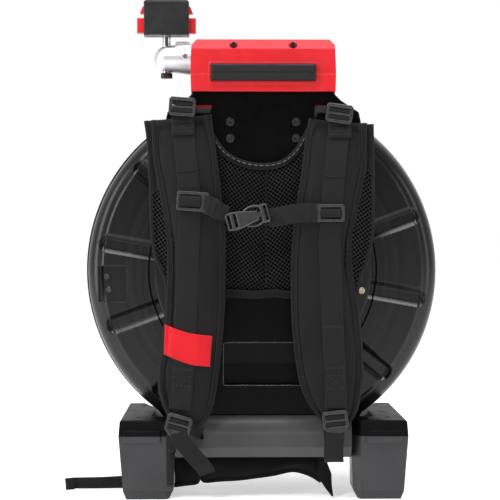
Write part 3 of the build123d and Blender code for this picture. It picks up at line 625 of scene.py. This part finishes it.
def bow_of(node, x):
    """Outer face of a bowed CAD pad as a smooth function of height."""
    tree = tree_of(NODES[node])
    low, high = corners(node)
    heights = [low.z + 0.05, (low.z + high.z) / 2, high.z - 0.05]
    outs = [front_of([tree], x, z) for z in heights]

    def bow(z):
        total = 0.0
        for i in range(3):
            share = outs[i]
            for j in range(3):
                if j != i:
                    share *= (z - heights[j]) / (heights[i] - heights[j])
            total += share
        return total
    return bow


def pad_height(edge, thick, rim):
    """Height of a sewn pad over its back at a distance from its edge."""
    if edge < CHANNEL:
        t = edge / CHANNEL
        return rim * (0.35 + 0.65 * min(1.0, 4 * t)) * (1.0 - 0.35 * t ** 4)
    return rim * 0.62 + (thick - rim * 0.62) * (1 - exp(-(edge - CHANNEL) / 0.0085))


def pad(name, left, right, bow, thick, depth, rows, paint, rim=0.006, slack=0.0006):
    """Puffy shell between two edge curves; depth is the CAD pad's thickness."""
    ls, rs = smooth_line(left, rows), smooth_line(right, rows)
    length = sum((b - a).length for a, b in zip(ls, ls[1:]))
    verts, faces = [], []
    middle_steps = 7
    size = 2 * len(RIMS) + middle_steps
    for k in range(rows):
        a, b = ls[k], rs[k]
        wide = (b - a).length
        scale = min(1.0, wide / 0.085)
        offsets = [r * scale for r in RIMS]
        inner = [offsets[-1] + (wide - 2 * offsets[-1]) * i / (middle_steps + 1)
                 for i in range(1, middle_steps + 1)]
        offsets = offsets + inner + [wide - r for r in reversed(offsets)]
        end = min(k, rows - 1 - k) * length / (rows - 1)
        for off in offsets:
            point = a.lerp(b, off / wide)
            edge = min(off, wide - off) / scale
            near = edge * end / sqrt(edge * edge + end * end + 1e-12) if end < 0.05 else edge
            wave = slack * sin(point.z * 61 + off * 90) * sin(off * 55 + 1.3)
            high = pad_height(max(0.0, near), thick, rim) + wave * min(1.0, near / 0.02)
            back = bow(point.z) + depth
            verts.append(Vector((point.x, back - high, point.z)))
    for k in range(rows):
        a, b = ls[k], rs[k]
        for i in range(size):
            front = verts[k * size + i]
            verts.append(Vector((front.x, bow(front.z) + depth, front.z)))
    half = rows * size
    for k in range(rows - 1):
        for i in range(size - 1):
            q = (k * size + i, k * size + i + 1, (k + 1) * size + i + 1, (k + 1) * size + i)
            faces.append(q)
            faces.append(tuple(half + v for v in reversed(q)))
        for i in (0, size - 1):
            faces.append((k * size + i, (k + 1) * size + i, half + (k + 1) * size + i,
                          half + k * size + i))
    for k in (0, rows - 1):
        for i in range(size - 1):
            faces.append((k * size + i, k * size + i + 1, half + k * size + i + 1, half + k * size + i))
    made = piece(name, verts, faces, paint)
    return made, ls, rs


def inflate(made, cap, pressure=4.0, frames=20):
    """Cloth puffs the piece a little; the cap keeps it near its sewn shape."""
    start = [v.co.copy() for v in made.data.vertices]
    cloth = made.modifiers.new("Cloth", "CLOTH")
    cloth.settings.quality = 5
    cloth.settings.mass = 0.3
    cloth.settings.tension_stiffness = 15
    cloth.settings.bending_stiffness = 0.5
    cloth.settings.use_pressure = True
    cloth.settings.uniform_pressure_force = pressure
    cloth.settings.effector_weights.gravity = 0
    cloth.point_cache.frame_start, cloth.point_cache.frame_end = 1, frames
    for step in range(1, frames + 1):
        bpy.context.scene.frame_set(step)
    shaped = made.evaluated_get(bpy.context.evaluated_depsgraph_get()).data
    ends = [v.co.copy() for v in shaped.vertices]
    made.modifiers.remove(cloth)
    bpy.context.scene.frame_set(1)
    for vertex, a, b in zip(made.data.vertices, start, ends):
        move = b - a
        if move.length > cap:
            move *= cap / move.length
        vertex.co = a + move


def xz(points):
    """Points (x, z) in millimetres as vectors in metres."""
    return [Vector((x / 1000, 0, z / 1000)) for x, z in points]


def conformed(line, trees, lift):
    """The line laid on the front of the given surfaces."""
    ys = [front_of(trees, p.x, p.z, None) for p in line]
    known = [y for y in ys if y is not None]
    out, last = [], known[0]
    for p, y in zip(line, ys):
        last = last if y is None else y
        out.append(Vector((p.x, last - lift, p.z)))
    return out


def inward(line, other, off):
    """A line moved from one edge towards the other by a distance."""
    return [a + (b - a).normalized() * off for a, b in zip(line, other)]


THREAD = moulded("thread", (0.022, 0.022, 0.023), 0.7, 3000.0, 0.00002, edge=0.0001)


def shoulder(side, node, seam, inner, outer, mesh_inner, rows, x, plain_from):
    """One shoulder strap: spacer-mesh underlay, crowned fabric face, bound edges and stitches."""
    bow = bow_of(node, x)
    depth = 0.017
    under, us, ui = pad(side + "_pad_mesh", outer, mesh_inner, bow, 0.0085, depth, rows, "mesh_fabric",
                        0.005)
    face, fs, fi = pad(side + "_pad_face", seam, inner, bow, depth, depth, rows, "pad_fabric", 0.0105)
    under.data.materials.append(PAINTS["pad_fabric"])
    for polygon in under.data.polygons:
        polygon.material_index = int(polygon.center.z > plain_from)
    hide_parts(node)
    inflate(face, 0.0016)
    trees = [tree_of(under), tree_of(face)]
    over = [trees[1]]
    for label, line, surfaces, radius in (
            ("outer", inward(us, ui, 0.0022), trees[:1], 0.0034),
            ("seam", inward(fs, fi, 0.0028), over, 0.0036),
            ("inner", inward(fi, fs, 0.0028), over, 0.0036)):
        tube(side + "_bound_" + label, conformed(line, surfaces, -0.0012), radius, "pad_fabric", 10,
             0.7)
    lines = []
    for off in (0.0074, 0.0102):
        lines.append(conformed(inward(fs, fi, off), over, 0.0001))
        lines.append(conformed(inward(fi, fs, off), over, 0.0001))
    dashes(side + "_pad_stitches", lines, THREAD)
    return trees


def strap_path(points, trees, lift, count=70):
    """Path of webbing lying on the pads."""
    line = smooth_line(xz(points), count)
    ys = [front_of(trees, p.x, p.z, -0.13) for p in line]
    soft = []
    for k in range(count):
        span = ys[max(0, k - 3):k + 4]
        soft.append(sum(span) / len(span))
    return [Vector((p.x, y - lift, p.z)) for p, y in zip(line, soft)]


make_camera()
make_stage()
paint_frame()

LEFT_TREES = shoulder(
    "left", "left_shoulder_pad",
    xz([(-168, 569), (-164.5, 508), (-156.6, 468.7), (-148, 415), (-144, 371), (-144.5, 301),
        (-149, 235),
        (-156, 190), (-153, 155), (-142, 130), (-128, 109)]),
    xz([(-79, 578), (-75.7, 550), (-69.7, 504), (-63.8, 453), (-58, 400), (-58, 367), (-60, 271),
        (-70, 175), (-80, 131), (-96, 109)]),
    xz([(-179, 568.4), (-175.2, 541), (-171.2, 480), (-169.2, 414), (-165, 371), (-155.5, 347),
        (-147.6, 325),
        (-147, 290), (-151.5, 235), (-157, 195), (-156, 162), (-146, 132), (-130, 110)]),
    xz([(-86, 576), (-82, 550), (-76, 504), (-70, 453), (-66, 400), (-66, 367), (-68, 271),
        (-78, 175), (-88, 133), (-104, 112)]),
    84, -0.115, 0.462)
RIGHT_TREES = shoulder(
    "right", "right_shoulder_pad",
    xz([(155, 565), (154, 530), (153, 497), (146, 460), (139, 423), (132.6, 387), (132, 343),
        (140, 290),
        (146, 230), (147, 199), (145, 170), (137, 130), (122, 109)]),
    xz([(69, 572), (63, 538), (57, 486), (49.5, 441), (42, 367), (42, 271), (49.4, 199.8),
        (58.4, 162.5), (74.8, 134), (98, 109)]),
    xz([(165.4, 563.7), (165.6, 520), (165.8, 470), (165.2, 420), (163, 390), (157, 360), (146, 335),
        (141, 300),
        (146, 240), (148, 199), (146, 165), (138, 130), (120, 110)]),
    xz([(77, 570), (71, 538), (65, 486), (58, 441), (50, 367), (50, 271), (58, 199),
        (67, 162), (84, 134), (104, 112)]),
    84, 0.105, 0.490)


# ---- webbing and stitches on the pads ----------------------------------------------------
def mm(x, y, z):
    return Vector((x / 1000, y / 1000, z / 1000))


def tack(path, start, rows, width, lift):
    """Rows of zigzag thread across webbing, at a fraction of the path's length."""
    k = int(start * (len(path) - 1))
    along = (path[k + 1] - path[k]).normalized()
    side = along.cross(Vector((0, 1, 0))).normalized()
    lines = []
    for row in range(rows):
        base = path[k] + along * (0.0016 * row) + Vector((0, -lift, 0))
        line = []
        for i in range(15):
            u = (i / 14 - 0.5) * width
            line.append(base + side * u + along * (0.0005 * (-1) ** i))
        lines.append(line)
    return lines


def ridge(name, path, start, width):
    """Folded edge of webbing that shows as a raised bar."""
    k = int(start * (len(path) - 1))
    along = (path[k + 1] - path[k]).normalized()
    side = along.cross(Vector((0, 1, 0))).normalized()
    base = path[k] + Vector((0, -0.0006, 0))
    line = [base + side * (width * (i / 10 - 0.5)) for i in range(11)]
    return tube(name, line, 0.0016, "webbing", 8, 0.8)


def box_x(corner_a, corner_b, trees, lift):
    """Stitch lines of a box with an X, between two opposite corners (x, z)."""
    (x0, z0), (x1, z1) = corner_a, corner_b
    spots = [(x0, z0), (x1, z0), (x1, z1), (x0, z1), (x0, z0)]
    lines = []
    for a, b in list(zip(spots, spots[1:])) + [((x0, z0), (x1, z1)), ((x0, z1), (x1, z0))]:
        line = [Vector((a[0] + (b[0] - a[0]) * t / 8, 0,
                        a[1] + (b[1] - a[1]) * t / 8)) for t in range(9)]
        lines.append(conformed(line, trees, lift))
    return lines


def harness_webbing():
    """Straps down the pads with their folded tops, tacks and box stitches."""
    for side, trees, points, marks in (
            ("left", LEFT_TREES,
             [(-121.5, 566), (-118, 530), (-112, 470), (-109.9, 434), (-112.9, 359), (-117.4, 240),
              (-121, 180),
              (-125.5, 137)], (0.185, 0.86, 0.92)),
            ("right", RIGHT_TREES,
             [(113.5, 562), (109.5, 525), (104.6, 478), (98.7, 400), (98.5, 359), (103.1, 240),
              (106.5, 180),
              (107.5, 139)], (0.195, 0.72, 0.86))):
        path = strap_path(points, trees, 0.0011)
        strap = ribbon(side + "_shoulder_webbing", path, 0.0325, 0.0017)
        if side == "left":
            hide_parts("shoulder_webbing")
        over = [tree_of(strap)] + trees
        ridge(side + "_webbing_fold", path, marks[0], 0.031)
        stitches = tack(path, marks[1], 3, 0.026, 0.0012) + tack(path, marks[2], 3, 0.026, 0.0012)
        top = path[0]
        patch_points = [(top.x * 1000, top.z * 1000 + 8), (top.x * 1000 + 0.5, top.z * 1000 - 6),
                        (top.x * 1000 + 1.2, top.z * 1000 - 20)]
        patch = ribbon(side + "_webbing_top", strap_path(patch_points, over, 0.0022, 12), 0.034, 0.0034)
        over = [tree_of(patch)] + over
        low, high = (top.x - 0.013, top.z - 0.015), (top.x + 0.013, top.z + 0.001)
        stitches += box_x(low, high, over, 0.0002)
        end = path[int(0.94 * (len(path) - 1))]
        stitches += box_x((end.x - 0.012, end.z - 0.002), (end.x + 0.012, end.z + 0.018), over, 0.0002)
        dashes(side + "_webbing_stitches", stitches, THREAD)


harness_webbing()


# ---- strap hardware ----------------------------------------------------------------------
def lock(name, place, wide=0.040, low_lip=0.0):
    """Ladder lock: rounded frame with two windows and a pointed thumb lip."""
    half = wide / 2
    outline = [(-half, 0.012), (-half + 0.003, 0.0155), (half - 0.003, 0.0155), (half, 0.012),
               (half, -0.009), (half - 0.003, -0.0125), (0.005, -0.0128 - low_lip),
               (-0.005, -0.0128 - low_lip), (-half + 0.003, -0.0125), (-half, -0.009)]
    windows = [round_rect(wide - 0.0085, 0.0075, 0.0015, 0, 0.0062),
               round_rect(wide - 0.0085, 0.0075, 0.0015, 0, -0.0045)]
    body = plate(name, outline, windows, 0.0042, place, "buckle_plastic", 0.0011)
    lip = plate(name + "_bar", round_rect(wide - 0.004, 0.0042, 0.0018, 0, 0.0128), [], 0.0032,
                place @ Matrix.Translation((0, 0, 0.0022)), "buckle_plastic", 0.0012)
    for k, y in enumerate((0.0064, -0.0043)):
        points = [place @ Vector((0, y + s * 0.0030, 0.0004 + 0.0011 * (1 - s * s))) for s in (-1, -0.5,
                                                                                               0, 0.5,
                                                                                               1)]
        side = (place.to_3x3() @ Vector((1, 0, 0))).normalized()
        ribbon(name + "_web_%d" % k, points, wide - 0.0088, 0.0014, across=[side] * 5)
    return body, lip


def slider(name, place, wide, high, inward_side):
    """Tri-glide on the shoulder webbing, with the chest strap's barrel across it."""
    body = plate(name, round_rect(wide + 0.007, high, 0.0035, 0.0035 * inward_side),
                 [round_rect(wide - 0.009, high - 0.0085, 0.002),
                  round_rect(0.0022, high - 0.0075, 0.001, inward_side * (wide / 2 + 0.0014))],
                 0.0042, place, "buckle_plastic", 0.0012)
    side = (place.to_3x3() @ Vector((1, 0, 0))).normalized()
    bulge = [place @ Vector((0, s * (high / 2 - 0.0072), 0.0008 + 0.0022 * (1 - s * s))) for s in (-1,
                                                                                                   -0.6,
                                                                                                   -0.2,
                                                                                                   0.2,
                                                                                                   0.6,
                                                                                                   1)]
    ribbon(name + "_web", bulge, wide - 0.0105, 0.0016, across=[side] * 6)
    return body


def hardware():
    top_left = facing_wearer(-0.122, -0.131, 0.587, 4)
    body, _ = lock("top_left_lock", top_left)
    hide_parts("ladder_locks")
    lock("top_right_lock", facing_wearer(0.113, -0.131, 0.577, 8))
    lock("low_left_lock", facing_wearer(-0.1275, -0.146, 0.1135, 16, -6), 0.038, 0.008)
    lock("low_right_lock", facing_wearer(0.1065, -0.146, 0.119, -6, -6), 0.038, 0.007)
    body = slider("left_slider", facing_wearer(-0.1094, -0.1492, 0.4465, 4), 0.041, 0.029, 1)
    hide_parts("sternum_sliders")
    slider("right_slider", facing_wearer(0.0996, -0.1492, 0.429, 0), 0.040, 0.026, -1)


hardware()


def chest_strap():
    """Chest webbing, folded beside each slider, up to the side-release buckle."""
    y = -0.1515
    left = [Vector((-0.0895, y + 0.002, 0.4415)), Vector((-0.083, y, 0.4405)),
            Vector((-0.077, y - 0.001, 0.438)),
            Vector((-0.070, y - 0.003, 0.434)), Vector((-0.062, y - 0.001, 0.4305)),
            Vector((-0.054, y, 0.4275))]
    strap = ribbon("left_chest_strap", smooth_line(left, 26), 0.027, 0.0018,
                   across=[Vector((0.05, 0, 1))] * 26,
                   widths=[0.0275 - 0.006 * max(0, k - 14) / 11 for k in range(26)])
    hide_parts("sternum_straps")
    fold = [Vector((-0.0765, y - 0.0035, 0.4265)), Vector((-0.073, y - 0.0042, 0.4375)),
            Vector((-0.0675, y - 0.0035, 0.4465))]
    tube("left_chest_fold", smooth_line(fold, 9), 0.0016, "webbing", 8, 0.7)
    right = [Vector((0.007, y, 0.4215)), Vector((0.020, y - 0.002, 0.4235)),
             Vector((0.036, y - 0.003, 0.4265)),
             Vector((0.052, y - 0.001, 0.429)), Vector((0.066, y, 0.4295)),
             Vector((0.082, y + 0.0015, 0.4292))]
    strap = ribbon("right_chest_strap", smooth_line(right, 34), 0.028, 0.0018,
                   across=[Vector((-0.05, 0, 1))] * 34)
    flap = [Vector((0.008, y - 0.0022, 0.4265)), Vector((0.020, y - 0.0042, 0.422)),
            Vector((0.031, y - 0.0032, 0.414))]
    tube("right_chest_fold", smooth_line(flap, 12), 0.0015, "webbing", 8, 0.7)
    tacks = []
    for x in (0.0615, 0.0635, 0.0655):
        tacks.append([Vector((x, y - 0.0014, 0.4295 + 0.0115 * (i / 6 - 1))) for i in range(0, 13)])
    dashes("chest_strap_stitches", tacks, THREAD)


chest_strap()


def buckle():
    """Side-release buckle: body on the left, plug with two sprung arms on the right."""
    place = (Matrix.Translation((-0.0245, -0.152, 0.422)) @ Matrix.Rotation(radians(-15), 4, "Y")
             @ Matrix.Rotation(radians(90), 4, "X"))
    outline = [(-0.0315, -0.0125), (-0.0325, -0.010), (-0.0325, 0.010), (-0.0315, 0.0125),
               (-0.024, 0.0138),
               (-0.012, 0.0128), (-0.001, 0.0102), (0.009, 0.0078), (0.016, 0.0072), (0.016, -0.0078),
               (0.008, -0.0092), (-0.002, -0.0118), (-0.013, -0.0138), (-0.024, -0.0142)]
    windows = [round_rect(0.0032, 0.020, 0.0012, -0.0275, 0),
               round_rect(0.0036, 0.020, 0.0014, -0.0185, 0)]
    body = plate("buckle_body", outline, windows, 0.0088, place, "buckle_plastic", 0.0022)
    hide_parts("buckle_plug")
    base = plate("buckle_base", round_rect(0.0115, 0.029, 0.002, 0.0262, 0),
                 [round_rect(0.0036, 0.022, 0.0014, 0.0282, 0)], 0.0082, place, "buckle_plastic", 0.002)
    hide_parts("buckle_socket")
    plate("buckle_tongue", round_rect(0.014, 0.007, 0.0015, 0.0175, 0), [], 0.0046, place,
          "buckle_plastic", 0.001)
    for sign, name, node, move in ((1, "upper_buckle_arm", "upper_buckle_tab", "upper_latch"),
                                   (-1, "lower_buckle_arm", "lower_buckle_tab", "lower_latch")):
        points = [(0.0215, 0.0105), (0.0175, 0.0132), (0.0115, 0.0146), (0.0045, 0.0142),
                  (-0.001, 0.0122), (-0.004, 0.0108)]
        line = smooth_line([place @ Vector((x, sign * z, 0.0)) for x, z in points], 24)
        verts, faces = tube_data(line, 0.0019, 10, 1.35)
        arm = piece(name, verts, faces, "buckle_plastic", body=move)
        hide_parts(node)


buckle()


def strap_tails():
    """Loose lower ends of the shoulder straps and the webbing that holds the pads down."""
    left = smooth_line([mm(-128, -148, 104), mm(-125, -150, 95), mm(-119, -151, 86),
                        mm(-106, -149, 70.5),
                        mm(-94, -146, 56), mm(-87.6, -143, 48.2), mm(-84.3, -140, 41)], 40)
    tail = ribbon("left_strap_tail", left, 0.0255, 0.0018)
    right = smooth_line([mm(105, -147, 108), mm(104.5, -151, 95), mm(103.5, -152, 80),
                         mm(103.5, -150, 66),
                         mm(104.2, -146, 59.5), mm(105, -140, 58.5)], 36)
    tail = ribbon("right_strap_tail", right, 0.029, 0.0018)
    anchor = smooth_line([mm(-112, -141, 110), mm(-104, -131, 104), mm(-97, -124.5, 99),
                          mm(-93.4, -121, 97.5)], 16)
    tail = ribbon("left_anchor_webbing", anchor, 0.0165, 0.0018, across=[Vector((0.3, 0, 1))] * 16)
    lower = smooth_line([mm(-139, -143.5, 104), mm(-139.5, -137, 92), mm(-138, -129, 80),
                         mm(-136, -127, 70)], 16)
    tail = ribbon("left_lower_webbing", lower, 0.011, 0.0018)
    stub = smooth_line([mm(-101, -127.5, 583.5), mm(-92, -126, 583), mm(-80, -124, 583.8)], 12)
    tail = ribbon("top_left_tail", stub, 0.0085, 0.0032, across=[Vector((0, 0.5, 1))] * 12)
    loop = smooth_line([mm(96, -128, 583), mm(86, -126, 585), mm(78, -121, 583), mm(80, -117, 576)], 18)
    tail = ribbon("top_right_tail", loop, 0.011, 0.0022, across=[Vector((0.1, 0.35, 1))] * 18)
    for side, x, z in (("left", -122, 597), ("right", 114, 587.5)):
        up = smooth_line([mm(x, -130.5, z - 6), mm(x, -131, z), mm(x, -126, z + 2.5),
                          mm(x + 1, -114, z + 0.5),
                          mm(x + 1.5, -104, z - 4)], 20)
        strap = ribbon(side + "_top_webbing", up, 0.028, 0.0018)


strap_tails()


def red_patch():
    """Plain red label sewn over the left strap."""
    trees = LEFT_TREES + [tree_of(bpy.data.objects["left_shoulder_webbing"])]
    top = smooth_line(xz([(-147.5, 263.4), (-112.5, 251.5), (-76.8, 246.4)]), 25)
    low = smooth_line(xz([(-149.3, 219), (-110.5, 204.5), (-80.6, 200.5)]), 25)
    rows, verts, faces = 17, [], []
    for k in range(rows):
        line = [a.lerp(b, k / (rows - 1)) for a, b in zip(top, low)]
        ys = [p.y for p in conformed(line, trees, 0.0011)]
        for i, p in enumerate(line):
            span = ys[max(0, i - 2):i + 3]
            verts.append(Vector((p.x, min(span), p.z)))
    half = len(verts)
    verts += [v + Vector((0, 0.0008, 0)) for v in verts]
    for k in range(rows - 1):
        for i in range(24):
            a = k * 25 + i
            faces.append((a, a + 1, a + 26, a + 25))
            faces.append((half + a, half + a + 25, half + a + 26, half + a + 1))
    ring = [i for i in range(25)] + [k * 25 + 24 for k in range(1, rows)]
    ring += [(rows - 1) * 25 + i for i in range(23, -1, -1)] + [k * 25 for k in range(rows - 2, 0, -1)]
    for a, b in zip(ring, ring[1:] + ring[:1]):
        faces.append((a, b, half + b, half + a))
    patch = piece("red_patch", verts, faces, cordura_paint("patch_red", (0.62, 0.012, 0.02), 0.0007))
    tree = [tree_of(patch)]
    centre = Vector((sum(p.x for p in top + low) / 50, 0, sum(p.z for p in top + low) / 50))
    edge = [top[0], top[12], top[24], low[24], low[12], low[0], top[0]]
    lines = []
    for a, b in zip(edge, edge[1:]):
        line = [a.lerp(b, t / 8) for t in range(9)]
        line = [p + (centre - p).normalized() * 0.0035 for p in line]
        lines.append(conformed(line, tree, 0.0001))
    dashes("red_patch_stitches", lines, moulded("red_thread", (0.5, 0.015, 0.02), 0.7, edge=0.0001))


red_patch()


def pocket_rim():
    """Rolled edge around the hand hold in the back plate."""
    y = corners("back_plate")[0].y
    loop = [Vector((x, y - 0.0002, z)) for x, z in round_rect(0.1212, 0.0652, 0.0042, 0, 0.201, 8)]
    loop.append(loop[0])
    tube("pocket_rim", loop, 0.0009, "black_screw", 8)


pocket_rim()


# ---- back pad and hip belt ---------------------------------------------------------------
def back_panel():
    """Spacer-mesh back panel with a bound scoop at the top and a fold along the bottom."""
    scoop = smooth_line(xz([(-82, 552), (-74.4, 540), (-58, 519), (-32, 505), (-1, 500), (28, 505),
                            (50, 522),
                            (64.2, 545.6), (70, 556)]), 61)
    base = [Vector((-0.070 + 0.122 * k / 60, 0, 0.3125)) for k in range(61)]
    seam_x = 0.004
    rows, verts, faces = 70, [], []
    for k in range(rows):
        for a, b in zip(scoop, base):
            p = a.lerp(b, k / (rows - 1))
            off = abs(p.x - seam_x)
            puff = 0.0062 * (1 - exp(-off / 0.012)) * min(1.0, (k + 0.5) / 6) * min(1.0,
                                                                                    (rows - 0.5 - k) / 6)
            verts.append(Vector((p.x, -0.1042 - puff - 0.0008 * sin(p.z * 80 + p.x * 40), p.z)))
    half = len(verts)
    verts += [Vector((v.x, -0.1034, v.z)) for v in verts]
    for k in range(rows - 1):
        for i in range(60):
            a = k * 61 + i
            faces.append((a, a + 1, a + 62, a + 61))
            faces.append((half + a, half + a + 61, half + a + 62, half + a + 1))
    ring = list(range(61)) + [k * 61 + 60 for k in range(1, rows)]
    ring += [(rows - 1) * 61 + i for i in range(59, -1, -1)] + [k * 61 for k in range(rows - 2, 0, -1)]
    for a, b in zip(ring, ring[1:] + ring[:1]):
        faces.append((a, b, half + b, half + a))
    panel = piece("back_panel", verts, faces, "mesh_fabric")
    panel.data.materials.append(MESH_RIGHT)
    for polygon in panel.data.polygons:
        polygon.material_index = int(polygon.center.x > seam_x)
    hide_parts("back_pad")
    tree = [tree_of(panel)]
    line = [Vector((p.x, -0.1088, p.z)) for p in scoop]
    tube("scoop_binding", line, 0.0052, "pad_fabric", 12, 0.55)
    lift = [Vector((p.x, -0.1118, p.z + 0.0012)) for p in scoop]
    dashes("scoop_stitches", [lift], moulded("pale_thread", (0.12, 0.12, 0.12), 0.6, edge=0.0001),
           0.0085, 0.0058, 0.0006)
    seam = [Vector((seam_x + 0.0006 * sin(k), front_of(tree, seam_x, 0.5 - 0.187 * k / 30,
                                                       -0.105) - 0.0003,
                    0.5 - 0.187 * k / 30)) for k in range(31)]
    tube("back_panel_seam", seam, 0.0009, "pad_fabric", 6, 0.6)
    for name, x0, x1, lift_y in (("left", -0.066, 0.0065, 0.0), ("right", 0.0055, 0.052, 0.0012)):
        fold = [Vector((x0 + (x1 - x0) * k / 11, -0.1072 - lift_y,
                        0.3075 + 0.0012 * sin(k * 0.6))) for k in range(12)]
        tube("panel_fold_" + name, fold, 0.0062, "pad_fabric", 12, 0.55)


MESH_RIGHT = mesh_paint("air_mesh_right", -0.6)
back_panel()


def hip_belt():
    """Hip belt folded away below the beam, its loose tip, and the webbing end on the floor."""
    top = smooth_line(xz([(-136, 62), (-100, 62), (-40, 62), (20, 62), (60, 62), (90, 62)]), 91)
    low = smooth_line(xz([(-135, 15), (-113, 17.5), (-99.6, 20), (-97.4, 31), (-95, 31), (-89.2, 21),
                          (-58, 23.6),
                          (-23, 26), (11.7, 31), (41.6, 36.4), (60.6, 33.7), (76, 28), (88, 21)]), 91)
    rows, verts, faces = 15, [], []
    for k in range(rows):
        t = k / (rows - 1)
        for i, (a, b) in enumerate(zip(top, low)):
            p = a.lerp(b, t)
            fold = 0.0025 * sin(p.x * 95 + 3 * t) + 0.0018 * sin(p.x * 41 - 2 * t + 1)
            verts.append(Vector((p.x, -0.094 - 0.008 * sin(pi * min(1, t * 1.1) * 0.7) + fold * t,
                                 p.z)))
    half = len(verts)
    for k in range(rows):
        for i in range(91):
            v = verts[k * 91 + i]
            edge = min(1.0, (rows - 1 - k) / 3, i / 4, (90 - i) / 4)
            verts.append(v + Vector((0, 0.0018 + 0.006 * edge, 0)))
    for k in range(rows - 1):
        for i in range(90):
            a = k * 91 + i
            faces.append((a, a + 1, a + 92, a + 91))
            faces.append((half + a, half + a + 91, half + a + 92, half + a + 1))
    ring = list(range(91)) + [k * 91 + 90 for k in range(1, rows)]
    ring += [(rows - 1) * 91 + i for i in range(89, -1, -1)] + [k * 91 for k in range(rows - 2, 0, -1)]
    for a, b in zip(ring, ring[1:] + ring[:1]):
        faces.append((a, b, half + b, half + a))
    wings = piece("hip_belt_wings", verts, faces, BELT)
    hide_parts("hip_belt")
    inflate(wings, 0.002)
    edge = conformed(inward(low, top, 0.002), [tree_of(wings)], 0.0)
    tube("hip_belt_binding", edge, 0.0028, BELT, 8, 0.8)
    tip = smooth_line([mm(89, -100, 60), mm(90.5, -104, 48), mm(93, -108, 34), mm(97.5, -113, 19),
                       mm(104, -119, 3)], 30)
    belt = ribbon("hip_belt_tip", tip, 0.020, 0.0035, BELT, across=[Vector((1, 0, 0.45))] * 30,
                  widths=[0.010 + 0.010 * min(1.0, k / 12) - 0.0175 * max(0,
                                                                          k - 14) / 15 for k in range(30)])
    end = smooth_line([mm(-132, -27, 12.8), mm(-170, -25.5, 12), mm(-215, -28, 11), mm(-255, -31, 10.2),
                       mm(-292, -29, 9.6), mm(-297, -30, 9.5)], 60)
    band = ribbon("belt_webbing_end", end, 0.020, 0.0019,
                  across=[Vector((0.0, 0.12 * sin(k / 9), 1)) for k in range(60)],
                  widths=[0.0215 - 0.004 * k / 59 for k in range(60)])
    fold = smooth_line([mm(-293, -33.2, 9.6), mm(-300, -34, 9.2), mm(-306.5, -34, 8.6)], 10)
    knot = ribbon("belt_webbing_fold", fold, 0.0185, 0.0034, across=[Vector((-0.22, 0, 1))] * 10)


BELT = cordura_paint("belt_fabric", (0.001, 0.001, 0.0012), 0.0011)
hip_belt()
